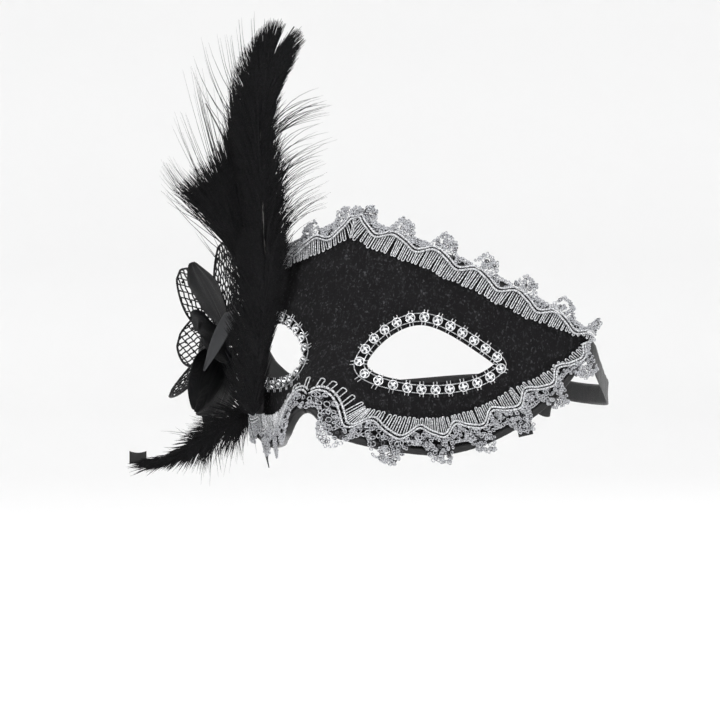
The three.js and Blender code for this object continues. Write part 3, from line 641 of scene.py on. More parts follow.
@dataclass(frozen=True)
class Felt(Finish):
    """Needled felt: matted fibres with a mottled tone."""

    pale: Triple = (0.05, 0.048, 0.05)

    def dress(self, tree: Tree, shader: Node) -> None:
        """Adds matted fibres and mottling."""
        fibre = use_group(tree, fibre_group(), Fineness=1400.0, Cloud=300.0)
        tree.links.new(mixed(tree, fibre.outputs["Mask"], self.color, self.pale),
                       shader.inputs["Base Color"])
        self.add_bump(tree, shader, fibre.outputs["Height"])


@dataclass(frozen=True)
class Strand(Finish):
    """Fine thread or barb in its own colour on the raised fibres, with painted shade darkening the
    gaps between them.
    """

    # This field holds the colour painted into the gaps between fibres as shade.
    painted_shade: Triple = (0.1, 0.1, 0.105)

    def dress(self, tree: Tree, shader: Node) -> None:
        """Adds the painted shade in the gaps between fibres, the gloss and the bump."""
        fibre = use_group(tree, fibre_group(), Fineness=2100.0, Cloud=900.0)
        # Painted shade: low fibres are mixed towards the gap colour, raised fibres keep the
        # thread's own colour.
        raised = ramp(tree, fibre.outputs["Height"], 0.36, 0.58)
        tree.links.new(mixed(tree, raised, self.painted_shade, self.color), shader.inputs["Base Color"])
        tree.links.new(ramp(tree, fibre.outputs["Mask"], 0, 1, self.roughness - 0.1,
                            self.roughness + 0.15), shader.inputs["Roughness"])
        self.add_bump(tree, shader, fibre.outputs["Height"])


VELVET = Velvet("velvet_brocade", (0.0042, 0.004, 0.0046), 0.8, specular=0.16, bump=0.8,
                bump_depth=0.25, patch=(0.017, 0.017, 0.0185), fleck=(0.05, 0.05, 0.054))
FELT = Felt("needled_felt", (0.011, 0.0105, 0.0115), 0.95, specular=0.1, bump=0.8,
            bump_depth=0.3, pale=(0.03, 0.029, 0.03))
SATIN = Cloth("black_satin", (0.005, 0.005, 0.0056), 0.3, anisotropic=0.5, specular=0.4,
              bump=0.25, slub=(0.012, 0.012, 0.013))
TAFFETA = Cloth("petal_taffeta", (0.0042, 0.0042, 0.0048), 0.45, specular=0.2, bump=0.35,
                bump_depth=0.2, slub=(0.017, 0.017, 0.0185), slub_share=0.6,
                threads=1500.0)
ASH_SATIN = Cloth("ash_satin", (0.045, 0.046, 0.0485), 0.55, specular=0.12, bump=0.25,
                  slub=(0.068, 0.069, 0.072))
SILVER = Strand("silver_thread", (0.84, 0.85, 0.87), 0.34, 0.6, specular=0.5,
                     bump=0.6, bump_depth=0.15, painted_shade=(0.2, 0.2, 0.21))
LACE = Strand("silver_lace_thread", (0.70, 0.71, 0.74), 0.4, 0.55, specular=0.5,
                   bump=0.6, bump_depth=0.15, painted_shade=(0.12, 0.12, 0.13))
# A dark copy of the lace thread: curls made in it paint the lace's shade.
PAINTED_SHADE_LACE = Strand("painted_shade_lace_thread", (0.14, 0.14, 0.15), 0.5, 0.4,
                        specular=0.3, bump=0.6, bump_depth=0.15, painted_shade=(0.03, 0.03, 0.033))
CUP = Strand("bright_cup", (0.93, 0.94, 0.95), 0.22, 0.8, specular=0.5, bump=0.15,
                  bump_depth=0.05, painted_shade=(0.7, 0.7, 0.72))
# Lit and shaded copies of one clear crystal: near-white metallic facets are a painted glint, dark
# facets painted shade.
GLINT_CRYSTAL = Finish("crystal_painted_glint", (0.96, 0.97, 0.98), 0.05, 0.7, coat=1.0, specular=0.5,
                 bump=0.02)
SHADE_CRYSTAL = Finish("crystal_painted_shade", (0.03, 0.033, 0.04), 0.08, 0.3, coat=0.5,
                      specular=0.5, bump=0.02)
NET = Strand("net_thread", (0.009, 0.009, 0.0105), 0.5, 0.0, specular=0.2, bump=0.5,
                  painted_shade=(0.003, 0.003, 0.0035))
FEATHER = Strand("dyed_barbs", (0.0065, 0.0065, 0.0075), 0.6, 0.0, specular=0.16,
                      bump=0.3, painted_shade=(0.0022, 0.0022, 0.0027))
QUILL = Felt("dyed_quill", (0.03, 0.029, 0.028), 0.45, specular=0.3, bump=0.2,
             pale=(0.13, 0.127, 0.122))
GLUE = Finish("set_glue", (0.74, 0.71, 0.6), 0.22, coat=0.4, transmission=0.35,
              specular=0.5, bump=0.3, bump_depth=0.4)
BOARD = Felt("moulded_board", (0.014, 0.0135, 0.014), 0.7, specular=0.15, bump=0.4,
             pale=(0.035, 0.034, 0.034))


# ---- the face form and the flat pattern --------------------------------------------------


@dataclass(frozen=True)
class FaceForm:
    """The moulded form: an elliptical wrap with a leaning brow and a nose."""

    half_breadth: float = 100.0
    face_depth: float = 106.0
    brow_lean: float = 19.0
    brow_height: float = 62.0
    cheek_lean: float = 5.0
    cheek_depth: float = 45.0
    nose_rise: float = 33.0
    nose_top: float = 14.0
    nose_run: float = 54.0
    nose_width_top: float = 10.0
    nose_width_base: float = 27.0
    lining_lift: float = -0.65

    def base(self, u: Array | float, z: Array | float) -> Array:
        """Returns points of the shell's back before it is set to the frame's origin."""
        u, z = np.broadcast_arrays(np.asarray(u, float), np.asarray(z, float))
        angle = 2 * u / (self.half_breadth + self.face_depth)
        x = self.half_breadth * np.sin(angle)
        lean = np.where(z > 0, self.brow_lean * (np.maximum(z, 0) / self.brow_height) ** 1.5,
                        self.cheek_lean * (z / self.cheek_depth) ** 2)
        down = np.clip((self.nose_top - z) / self.nose_run, 0, 1)
        width = lerp(self.nose_width_top, self.nose_width_base, down)
        nose = self.nose_rise * smooth(down) * np.exp(-(x / width) ** 2)
        return np.stack([x, self.face_depth * (1 - np.cos(angle)) + lean - nose, z], -1)

    def axes(self, u: Array | float, z: Array | float) -> tuple[Array, Array, Array]:
        """Returns tangents across and up the face, and the outward normal."""
        step = 0.05
        across = unit(self.base(u + step, z) - self.base(u - step, z))
        rise = unit(self.base(u, z + step) - self.base(u, z - step))
        normal = unit(np.cross(across, rise))
        return across, np.cross(normal, across), normal

    def point(self, u: Array | float, z: Array | float, lift: Array | float) -> Array:
        """Returns points in metres at a place on the pattern and a height above the form.

        Args:
            u: Distance round the face.
            z: Height.
            lift: Distance outward from the back of the shell.

        Returns:
            Points with one more axis than the inputs.
        """
        u, z = np.asarray(u, float), np.asarray(z, float)
        normal = self.axes(u, z)[2]
        points = self.base(u, z) + normal * np.asarray(lift, float)[..., None]
        bridge = self.base(0.0, 0.0) + self.axes(0.0, 0.0)[2] * self.lining_lift
        points[..., 1] -= bridge[1]
        return points * MM


FORM = FaceForm()


@dataclass(frozen=True)
class Pattern:
    """The flat outline of one half of the mask, and its eye opening."""

    peak: Pair = (0.0, 62.0)
    brow: Pair = (42.0, 43.0)
    tip: Pair = (119.0, 5.0)
    cheek: Pair = (44.0, -45.0)
    nostril: Pair = (14.0, -37.5)
    arch: Pair = (0.0, -26.0)
    eye_inner: Pair = (16.2, -6.0)
    eye_length: float = 56.2
    eye_rise: float = 17.3
    eye_rise_share: float = 0.4
    eye_drop: float = 8.2
    eye_drop_share: float = 0.48

    def brow_edge(self) -> Array:
        """The top edge from the peak to the brow."""
        return cubic(self.peak, (8, -10), (-18, 7), self.brow)

    def temple_edge(self) -> Array:
        """The top edge from the brow to the tip."""
        return cubic(self.brow, (18, -8), (-24, 14), self.tip)

    def cheek_edge(self) -> Array:
        """The bottom edge from the tip to the cheek."""
        return cubic(self.tip, (-11, -27), (24, 0), self.cheek)

    def nostril_edge(self) -> Array:
        """The bottom edge from the cheek to the nostril."""
        return cubic(self.cheek, (-12, 0), (6, -2.5), self.nostril)

    def arch_edge(self) -> Array:
        """The bottom edge from the nostril to the top of the nose arch."""
        return cubic(self.nostril, (-5, 2), (6, 0), self.arch)

    def top_edges(self) -> list[Array]:
        """The top edge that the braid and the tape follow, from the brow to the tip."""
        return [self.brow_edge(), self.temple_edge()]

    def low_edges(self) -> list[Array]:
        """The bottom edge that the braid and the tape follow, from the tip to the arch."""
        return [self.cheek_edge(), self.nostril_edge(), self.arch_edge()]

    def eye_edges(self) -> list[Array]:
        """The four quarters of the eye opening, from its inner corner over the top."""
        inner = np.array(self.eye_inner)
        outer = inner + (self.eye_length, 0)
        top = inner + (self.eye_rise_share * self.eye_length, self.eye_rise)
        low = inner + (self.eye_drop_share * self.eye_length, -self.eye_drop)
        return [cubic(inner, (0, 6), (-11, 0), top), cubic(top, (9, 0), (-10, 7.5), outer),
                cubic(outer, (-7, -6), (11, 0), low), cubic(low, (-15, 0), (0, -5), inner)]

    def rings(self, detail: int) -> tuple[Array, Array, Array]:
        """Returns matching points of the eye opening and the outline.

        Args:
            detail: Points for each quarter of the eye; a multiple of 10.

        Returns:
            The eye's points, the outline's points, and which spans of the outline lie on
            the middle line of the mask.
        """
        part = detail // 10
        middle = (0.0, self.eye_inner[1])
        eye = np.vstack([resample(edge, detail)[:-1] for edge in self.eye_edges()])
        runs = [np.array([middle, self.peak]), *self.top_edges(), *self.low_edges(),
                np.array([self.arch, middle])]
        counts = (6, 4, 10, 10, 4, 3, 3)
        outer = np.vstack([resample(line, count * part)[:-1]
                           for line, count in zip(runs, counts)])
        on_middle = np.zeros(len(outer), bool)
        on_middle[:counts[0] * part] = True
        on_middle[-counts[-1] * part:] = True
        return eye, outer, on_middle


PATTERN = Pattern()


class EdgeRun:
    """A run along the pattern's edge that places things by distance, offset and lift."""

    margin = 0.35
    tip_zone = 45.0
    arch_zone = 9.0
    step = 0.5

    def __init__(self, lines: Sequence[Array], side: Side, above_tip: bool,
                 soften: float = 5.0) -> None:
        """Measures the run.

        Args:
            lines: The edges that it follows, in order.
            side: The half of the mask.
            above_tip: Whether it lies above the tip's bisector.
            soften: Length over which its direction is averaged.
        """
        whole = np.vstack([line[:-1] for line in lines] + [lines[-1][-1:]])
        self.length = line_length(whole)
        count = int(self.length / self.step)
        self.points = resample(whole, count)
        self.along = np.linspace(0, self.length, count + 1)
        direction = tangents(self.points)
        reach = max(1, int(soften / self.step))
        padded = np.pad(direction, ((reach, reach), (0, 0)), mode="edge")
        kernel = np.ones(2 * reach + 1) / (2 * reach + 1)
        direction = unit(np.stack([np.convolve(padded[:, k], kernel, "valid")
                                   for k in range(2)], 1))
        self.normals = np.stack([-direction[:, 1], direction[:, 0]], 1)
        if not above_tip:
            upright = np.stack([0 * self.along, np.sign(self.normals[:, 1])], 1)
            near = smooth(1 - self.points[:, 0] / self.arch_zone)[:, None]
            self.normals = unit(lerp(self.normals, upright, near))
        self.side = side
        tip = np.array(PATTERN.tip)
        axis = unit(unit(tip - PATTERN.cheek_edge()[1]) + unit(tip - PATTERN.temple_edge()[-2]))
        self.tip = tip
        self.away = np.array([-axis[1], axis[0]]) * (1 if above_tip else -1)

    def flat(self, s: Array, offset: Array) -> Array:
        """Returns pattern points, kept off the middle line and the tip's bisector."""
        s = np.clip(s, 0, self.length)
        point = np.stack([np.interp(s, self.along, self.points[:, k]) for k in range(2)], -1)
        normal = unit(np.stack([np.interp(s, self.along, self.normals[:, k])
                                for k in range(2)], -1))
        result = point + normal * np.asarray(offset, float)[..., None]
        short = np.maximum(self.margin - result[..., 0], 0)
        result[..., 0] += short
        near = np.linalg.norm(result - self.tip, axis=-1) < self.tip_zone
        beyond = self.margin - (result - self.tip) @ self.away
        return result + (near * np.maximum(beyond, 0))[..., None] * self.away

    def place(self, s: Array, offset: Array, lift: Array) -> Array:
        """Returns points in metres at distances along the run.

        Args:
            s: Distances along the edge.
            offset: Distances outward from it.
            lift: Heights above the form.

        Returns:
            The points.
        """
        s, offset, lift = np.broadcast_arrays(s, offset, lift)
        p = self.flat(s, offset)
        return FORM.point(self.side.value * p[..., 0], p[..., 1], lift)

    def facing(self, s: Array, offset: Array) -> Array:
        """Returns the face's outward normals at places along the run."""
        p = self.flat(*np.broadcast_arrays(s, offset))
        return FORM.axes(self.side.value * p[..., 0], p[..., 1])[2]


# ---- shell, velvet, lining, binding ------------------------------------------------------


@dataclass
class MaskBody:
    """The shell's cloth layers and the satin tape round its edge."""

    velvet_back: float = 1.35
    velvet_front: float = 1.95
    felt_front: float = -0.15
    felt_back: float = -0.65
    lip: float = 0.3
    detail: int = 40
    rows: int = 30
    pile: float = 0.05
    tape_lift_front: float = 2.6
    tape_lift_back: float = -1.3
    tape_leaf: float = 2.5
    tape_reach: float = 0.65
    tape_wall: float = 0.35
    gather: float = 0.07

    def build(self) -> None:
        """Builds every layer and dresses the shell that shows at the eye openings."""
        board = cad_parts["shell"].data.materials
        board.clear()
        board.append(BOARD.material())
        self.build_velvet()
        self.build_lining()
        for side in Side:
            top = EdgeRun(PATTERN.top_edges(), side, True, 1.0)
            low = EdgeRun(PATTERN.low_edges(), side, False, 1.0)
            self.build_tape(top, f"edge_binding_top_{side.word}")
            self.build_tape(low, f"edge_binding_bottom_{side.word}")

    def build_layer(self, name: str, section: Sequence[Triple],
                    finish: Finish, slot: str) -> Object:
        """Builds one layer of both halves from its section.

        Args:
            name: Name of the piece and of the node that it stands for.
            section: Closed list of (share from eye to edge, step into the eye, lift).
            finish: The layer's finish.
            slot: The record's material slot.

        Returns:
            The piece.
        """
        eye, outer, on_middle = PATTERN.rings(self.detail)
        inward = tangents(np.vstack([eye[-1:], eye, eye[:1]]))[1:-1]
        inward = np.stack([inward[:, 1], -inward[:, 0]], 1)
        draft = MeshDraft()
        for side in Side:
            rows = []
            for share, step, lift in section:
                flat = lerp(eye, outer, share) + inward * step
                rows.append(FORM.point(side.value * flat[:, 0], flat[:, 1],
                                       np.full(len(flat), lift)))
            keep = np.ones((len(section), len(eye)), bool)
            for i in range(len(section)):
                if section[i][0] == 1.0 and section[(i + 1) % len(section)][0] == 1.0:
                    keep[i] = ~on_middle
            draft.grid(np.array(rows), round_rows=True, round_columns=True, keep=keep)
            front = np.array(rows[:self.rows])
        piece = draft.build(name + "_cloth", [finish], replaces=[name], slot=slot, weld=True)
        np.ptp(outer[:, 1]) * MM
        return piece

    def build_velvet(self) -> None:
        """Builds the velvet, turned in over the rim of each eye opening."""
        shares = np.linspace(0, 1, self.rows)
        front = [(float(t), 0.0, self.velvet_front + self.pile * math.sin(37 * t)) for t in shares]
        back = [(float(t), 0.0, self.velvet_back) for t in shares[::-1]]
        lip = [(0.0, 0.4 * self.lip, 0.0), (0.0, self.lip, 0.0), (0.0, 1.5 * self.lip, 1.2),
               (0.0, self.lip, 1.75)]
        self.build_layer("velvet_cover", front + back + lip, VELVET, "velvet")

    def build_lining(self) -> None:
        """Builds the felt lining."""
        shares = np.linspace(0, 1, self.rows)
        front = [(float(t), 0.0, self.felt_front) for t in shares]
        back = [(float(t), 0.0, self.felt_back) for t in shares[::-1]]
        self.build_layer("felt_lining", front + back, FELT, "felt")

    def build_tape(self, run: EdgeRun, name: str) -> None:
        """Builds one folded satin tape along an edge, with small gathers.

        Args:
            run: The edge.
            name: Name of the node that it stands for.
        """
        s = np.linspace(0.4, run.length - 0.4, int(run.length / 0.8))
        front, back, reach = self.tape_lift_front, self.tape_lift_back, self.tape_reach
        wall, leaf = self.tape_wall, self.tape_leaf
        outer = [(-leaf, front), (-leaf / 2, front + 0.08), (0.1, front),
                 (reach * 0.8, front - 0.3), (reach, 1.6), (reach + 0.05, 0.6), (reach, -0.4),
                 (reach * 0.8, back + 0.3), (0.1, back), (-leaf / 2, back - 0.08), (-leaf, back)]
        inner = [(-leaf, back + wall), (0.0, back + wall), (reach - wall, -0.6),
                 (reach - wall, 1.9), (0.0, front - wall), (-leaf, front - wall)]
        rings = []
        for k, (offset, lift) in enumerate(outer + inner):
            gather = self.gather * np.sin(2.1 * s + 0.7 * k) * np.sin(0.53 * s + k)
            gather = gather if k < len(outer) else 0
            rings.append(run.place(s, np.full_like(s, offset) + gather * 0.5, lift + gather))
        draft = MeshDraft()
        draft.turned(np.array(rings).transpose(1, 0, 2))
        draft.build(name + "_tape", [SATIN], replaces=[name], slot="satin")


# ---- silver braid ------------------------------------------------------------------------


@dataclass(frozen=True)
class BraidStyle:
    """How one strip of braid lies against its edge; insets are by distance along it."""

    repeat: float
    wave: float
    phase: float
    cover: float
    lace_feet: Pairs
    lace_heights: Pairs
    gimp_insets: Pairs
    fringe_insets: Pairs

    def gimp(self, s: Array) -> Array:
        """Returns the gimp's offset from the edge at distances along it."""
        turn = 2 * np.pi * s / self.repeat + self.phase
        wave = np.sin(turn) + 0.2 * np.sin(2 * turn + 0.4)
        return self.wave * wave - np.interp(s, *zip(*self.gimp_insets))

    def fringe(self, s: Array) -> Array:
        """Returns the fringe's inner offset from the edge at distances along it."""
        return -np.interp(s, *zip(*self.fringe_insets))


TOP_LEFT = BraidStyle(
    21.0, 1.7, 0.07, 0.6, ((0, 1.3),), ((0, 4.4), (9, 7.4), (127, 6.8)),
    ((0, 8.2), (3, 5.0), (5, 2.4), (8, 2.6), (15, 1.9), (60, 1.6), (100, 1.8), (125, 1.0)),
    ((0, 11.5), (12, 9.3), (95, 8.7), (112, 6.2), (127, 2.6)))
TOP_RIGHT = BraidStyle(
    21.0, 1.7, 0.07, 0.6, ((0, 1.3),), ((0, 4.4), (9, 8.0), (127, 6.8)),
    ((0, 8.2), (3, 5.3), (5, 3.2), (8, 3.6), (16, 3.3), (60, 3.0), (100, 2.0), (125, 1.0)),
    ((0, 11.5), (12, 9.6), (95, 9.0), (112, 6.2), (127, 2.6)))
BOTTOM_LEFT = BraidStyle(
    19.5, 2.3, -2.3, -4.5, ((0, 3.0), (110, 5.0), (125, 7.5), (145, 6.3)),
    ((0, 6.0), (12, 10.0), (40, 11.8), (110, 11.8), (128, 9.5), (145, 8.0)),
    ((0, 1.6), (8, 3.2), (20, 6.3), (32, 8.3), (48, 10.0), (92, 10.2), (108, 7.8),
     (128, 6.9), (145, 5.8)),
    ((0, 2.6), (12, 7.4), (30, 12.0), (48, 15.7), (96, 15.9), (115, 13.4), (145, 12.2)))
BOTTOM_RIGHT = BraidStyle(
    19.5, 2.2, -2.3, -4.5, ((0, 3.0), (110, 4.4), (125, 7.5), (145, 6.3)),
    ((0, 6.0), (12, 9.0), (40, 10.8), (110, 10.8), (128, 9.0), (145, 8.0)),
    ((0, 1.6), (8, 3.2), (20, 6.0), (48, 8.2), (92, 8.6), (108, 7.6), (128, 6.9),
     (145, 5.8)),
    ((0, 2.6), (12, 7.4), (30, 11.0), (48, 13.8), (96, 14.2), (115, 13.2), (145, 12.2)))


@dataclass
class SilverBraid:
    """Braid of fringe loops, a wavy double gimp cord and scalloped lace."""

    base_lift: float = 3.35
    cord_radius: float = 0.36
    cord_gap: float = 1.5
    cord_lift: float = 0.65
    twist_pitch: float = 2.1
    twist_radius: float = 0.2
    loop_pitch: float = 2.2
    loop_radius: float = 0.27
    lace_radius: float = 0.27
    lace_density: float = 0.74
    # Share of lace curls made in the dark thread copy that paints shade.
    painted_shade_share: float = 0.3
    curl_size: Pair = (0.45, 0.95)
    rim_curl_size: Pair = (0.5, 0.8)

    def build(self) -> None:
        """Builds the four strips."""
        top = PATTERN.top_edges()
        low = PATTERN.low_edges()
        self.build_strip(EdgeRun(top, Side.LEFT, True), TOP_LEFT, "top_left", 0)
        self.build_strip(EdgeRun(top, Side.RIGHT, True), TOP_RIGHT, "top_right", 1)
        self.build_strip(EdgeRun(low, Side.LEFT, False), BOTTOM_LEFT, "bottom_left", 2)
        self.build_strip(EdgeRun(low, Side.RIGHT, False), BOTTOM_RIGHT, "bottom_right", 3)

    def build_strip(self, run: EdgeRun, style: BraidStyle, place: str, number: int) -> None:
        """Builds one strip.

        Args:
            run: The edge that it follows.
            style: How it lies.
            place: The place's words in names.
            number: The strip's number, which seeds its irregularities.
        """
        rng = np.random.default_rng(SEED + number)
        draft = MeshDraft()
        self.add_cords(draft, run, style)
        self.add_fringe(draft, run, style, rng)
        self.add_lace(draft, run, style, rng)
        name = f"silver_braid_{place}"
        draft.build(name + "_threads", [SILVER, LACE, PAINTED_SHADE_LACE], replaces=[name],
                    slot="silver_braid")

    def add_cords(self, draft: MeshDraft, run: EdgeRun, style: BraidStyle) -> None:
        """Adds the two gimp cords, each twisted from two strands."""
        s = np.arange(0.3, run.length - 0.2, 0.45)
        centre = style.gimp(s)
        facing = run.facing(s, centre)
        for share in (-0.5, 0.5):
            for strand in (0, np.pi):
                twist = 2 * np.pi * s / self.twist_pitch + strand
                offset = centre + share * self.cord_gap + self.twist_radius * np.cos(twist)
                lift = self.base_lift + self.cord_lift + self.twist_radius * np.sin(twist)
                draft.tubes(run.place(s, offset, lift), self.cord_radius * MM, facing[None], 6)

    def add_fringe(self, draft: MeshDraft, run: EdgeRun, style: BraidStyle,
                   rng: Random) -> None:
        """Adds the loops that run from the gimp to the braid's inner side."""
        centres = np.arange(1.0, run.length - 0.6, self.loop_pitch)
        count = len(centres)
        half = self.loop_pitch * 0.24 * rng.uniform(0.75, 1.2, (count, 1))
        turn = np.linspace(0, 1, 17)
        round_end = np.pi * np.clip((turn - 0.3) / 0.4, 0, 1)
        bend = np.sin(round_end)
        across = -np.cos(round_end) * half
        straight = np.abs(turn - 0.5) * 2
        down = np.where(straight > 0.4, (1 - straight) / 0.6, 1.0)
        start = style.gimp(centres)[:, None] - 0.3
        end = style.fringe(centres)[:, None] + rng.normal(0, 0.28, (count, 1))
        end = np.minimum(end, start - 1.6)
        reach = lerp(start, end + half, down[None]) - half * bend
        lean = rng.normal(0, 0.3, (count, 1))
        s = centres[:, None] + across + lean * down
        lift = self.base_lift + 0.3 * np.sin(np.pi * turn) + rng.normal(0, 0.12, (count, 1))
        draft.tubes(run.place(s, reach, lift), self.loop_radius * MM, run.facing(s, reach), 5)

    def lace_reach(self, style: BraidStyle, s: Array) -> Array:
        """Returns how far the lace stands out from the gimp at distances along it."""
        turn = 2 * np.pi * s / style.repeat + style.phase - 0.68 * np.pi
        scallop = np.clip(0.52 + 0.85 * np.cos(turn), 0, 1) ** 0.8
        lobes = 0.84 + 0.16 * np.abs(np.cos(3 * turn))
        height = np.interp(s, *zip(*style.lace_heights))
        foot = np.minimum(np.interp(s, *zip(*style.lace_feet)), height)
        reach = foot + (height - foot) * scallop * lobes
        return np.maximum(reach, style.cover - style.gimp(s))

    def add_lace(self, draft: MeshDraft, run: EdgeRun, style: BraidStyle, rng: Random) -> None:
        """Adds the lace: small crinkled loops that fill each scallop, and its rim; a share of the
        loops are dark copies, set lower, that paint shade.
        """
        tallest = max(height for _, height in style.lace_heights)
        count = int(run.length * tallest * self.lace_density)
        s = rng.uniform(0.6, run.length - 0.6, count)
        reach = self.lace_reach(style, s)
        keep = rng.uniform(0, tallest, count) < reach
        s, reach = s[keep], reach[keep]
        out = 0.9 + rng.uniform(0.0, 1.0, len(s)) * (reach - 0.9)
        # Painted shade: this share of curls, set a little lower, takes the dark lace copy.
        painted_shade = rng.uniform(0, 1, len(s)) < self.painted_shade_share
        middle = style.gimp(s) + out
        self.add_curls(draft, run, s[painted_shade], middle[painted_shade], rng, self.curl_size, 2, -0.15)
        self.add_curls(draft, run, s[~painted_shade], middle[~painted_shade], rng, self.curl_size, 1, 0.2)
        rim = np.arange(0.8, run.length - 0.8, 1.0)
        edge = style.gimp(rim) + self.lace_reach(style, rim)
        self.add_curls(draft, run, rim, edge, rng, self.rim_curl_size, 1, 0.1)

    def add_curls(self, draft: MeshDraft, run: EdgeRun, s: Array, offset: Array,
                  rng: Random, size: Pair, slot: int,
                  rise: float) -> None:
        """Adds one small open curl of thread at each place.

        Args:
            draft: The strip's draft.
            run: The edge.
            s: Distances along the edge.
            offset: Offsets from it.
            rng: The strip's random source.
            size: Smallest and largest radius of a curl.
            slot: Material slot.
            rise: Height above the braid's middle.
        """
        count = len(s)
        turn = np.linspace(0, 2 * np.pi * 1.1, 10)[None] + rng.uniform(0, 6.3, (count, 1))
        radius = rng.uniform(*size, (count, 1))
        squash = rng.uniform(0.5, 1.0, (count, 1))
        tilt = rng.uniform(0, np.pi, (count, 1))
        a, b = radius * np.cos(turn), radius * squash * np.sin(turn)
        along = s[:, None] + a * np.cos(tilt) - b * np.sin(tilt)
        out = offset[:, None] + a * np.sin(tilt) + b * np.cos(tilt)
        height = self.base_lift + 0.3 + rise + rng.uniform(-0.1, 0.3, (count, 1))
        lift = height + 0.3 * np.sin(2 * turn + tilt)
        draft.tubes(run.place(along, out, lift), self.lace_radius * MM,
                    run.facing(along, out), 4, slot=slot)


# ---- rhinestone chains -------------------------------------------------------------------


@dataclass
class RhinestoneChain:
    """Crystals in bright cups, joined by two threads and stitched down with ticks."""

    inset: float = 2.7
    pitch: float = 6.0
    base_lift: float = 2.5
    cup_radius: float = 2.2
    stone_radius: float = 1.82
    cup_height: float = 1.25
    stone_height: float = 0.8
    table_radius: float = 0.75
    claw_rise: float = 0.3
    thread_radius: float = 0.2
    thread_gap: float = 1.75
    tick_reach: float = 3.4
    tick_step: float = 0.75

    def build(self) -> None:
        """Builds both chains."""
        for side in Side:
            self.build_chain(side)

    def line(self, count: int) -> tuple[Array, Array]:
        """Returns even pattern points round the eye's edge and their outward normals."""
        fine = resample(np.vstack(PATTERN.eye_edges()), 720)[:-1]
        along = unit(np.roll(fine, -1, 0) - np.roll(fine, 1, 0))
        normal = np.stack([-along[:, 1], along[:, 0]], 1)
        normal = unit(sum(np.roll(normal, step, 0) for step in range(-14, 15)))
        both = np.hstack([fine + normal * self.inset, normal])
        both = np.vstack([both, both[:1]])
        return resample(both[:, :2], count)[:-1], unit(resample(both, count)[:-1, 2:])

    def build_chain(self, side: Side) -> None:
        """Builds the chain of one eye."""
        length = line_length(np.vstack(PATTERN.eye_edges())) + 2 * np.pi * self.inset
        stones = round(length / self.pitch)
        points, normals = (line[::2] for line in self.line(2 * stones))
        rng = np.random.default_rng(SEED + side.value)
        draft = MeshDraft()
        for point, normal in zip(points, normals):
            self.add_stone(draft, side, point, rng)
            self.add_ticks(draft, side, point, normal)
        self.add_threads(draft, side)
        name = f"rhinestone_band_{side.word}"
        draft.build(name + "_chain", [CUP, GLINT_CRYSTAL, SHADE_CRYSTAL, SILVER], replaces=[name],
                    slot="rhinestone", shade_smooth=False)

    def seat(self, side: Side, point: Array) -> tuple[Array, Array, Array, Array]:
        """Returns a stone's foot in metres and its three axes."""
        u, z = side.value * point[0], point[1]
        return FORM.point(u, z, self.base_lift), *FORM.axes(u, z)

    def add_stone(self, draft: MeshDraft, side: Side, point: Array, rng: Random) -> None:
        """Adds a cup with four claws and the cut stone in it, its facets split between a painted
        glint and painted shade.
        """
        foot, across, up, normal = self.seat(side, point)
        spin = rng.uniform(0, 0.8)
        turn = 2 * np.pi * np.arange(16) / 16
        circle = self.spokes(turn + spin, across, up)
        profile = [(1.2, 0.0), (1.75, 0.15), (self.cup_radius, 0.8),
                   (self.cup_radius, self.cup_height), (self.stone_radius, self.cup_height),
                   (self.stone_radius - 0.1, 0.7), (1.0, 0.4)]
        claw = self.claw_rise * (np.cos(4 * turn) > 0.9)
        rings = []
        for radius, height in profile:
            rise = height + claw * (height >= self.cup_height)
            rings.append(foot + (circle * radius + normal * rise[:, None]) * MM)
        draft.grid(np.array(rings), round_rows=True, round_columns=True)
        middle = self.spokes(2 * np.pi * (np.arange(8) + 0.5) / 8 + spin, across, up)
        top = self.cup_height + self.stone_height
        table = foot + (circle[::2] * self.table_radius + normal * top) * MM
        girdle = foot + (middle * (self.stone_radius - 0.12) + normal * 0.95) * MM
        under = foot + (middle * 1.1 + normal * 0.62) * MM
        k = np.arange(8)
        after = (k + 1) % 8
        star = np.stack([k, after, k + 8], 1)
        kite = np.stack([k + 8, after, after + 8], 1)
        wall = np.stack([k + 8, after + 8, after + 16, k + 16], 1)
        # Painted glint on slot 1 facets; painted shade on slot 2 facets, the girdle wall and the
        # underside.
        draft.add(np.vstack([table, girdle, under]),
                  [star[::2], kite[1::2], star[1::2], kite[::2], wall, k[None, ::-1] + 16,
                   k[None]], [1, 1, 2, 2, 2, 2, 1])

    def spokes(self, turn: Array, across: Array, up: Array) -> Array:
        """Returns directions at angles about a stone's own normal."""
        return np.cos(turn)[:, None] * across + np.sin(turn)[:, None] * up

    def add_ticks(self, draft: MeshDraft, side: Side, point: Array, normal: Array) -> None:
        """Adds the two stitches that cross the chain at a stone."""
        along = np.array([normal[1], -normal[0]])
        reach = np.linspace(-self.tick_reach, self.tick_reach, 9)
        for step in (-self.tick_step, self.tick_step):
            flat = point + along * step + normal * reach[:, None]
            lift = self.base_lift - 0.25 + 0.25 * (np.abs(reach) < self.cup_radius)
            self.add_thread(draft, side, flat, lift)

    def add_threads(self, draft: MeshDraft, side: Side) -> None:
        """Adds the two threads that join the stones."""
        points, normals = self.line(180)
        for gap in (-self.thread_gap, self.thread_gap):
            flat = points + normals * gap
            flat = np.vstack([flat, flat[:1]])
            self.add_thread(draft, side, flat, np.full(len(flat), self.base_lift + 0.2))

    def add_thread(self, draft: MeshDraft, side: Side, flat: Array, lift: Array) -> None:
        """Adds one thread along pattern points at heights above the form."""
        u, z = side.value * flat[:, 0], flat[:, 1]
        draft.tubes(FORM.point(u, z, lift), self.thread_radius * MM, FORM.axes(u, z)[2][None],
                    5, slot=3)


# ---- ties --------------------------------------------------------------------------------


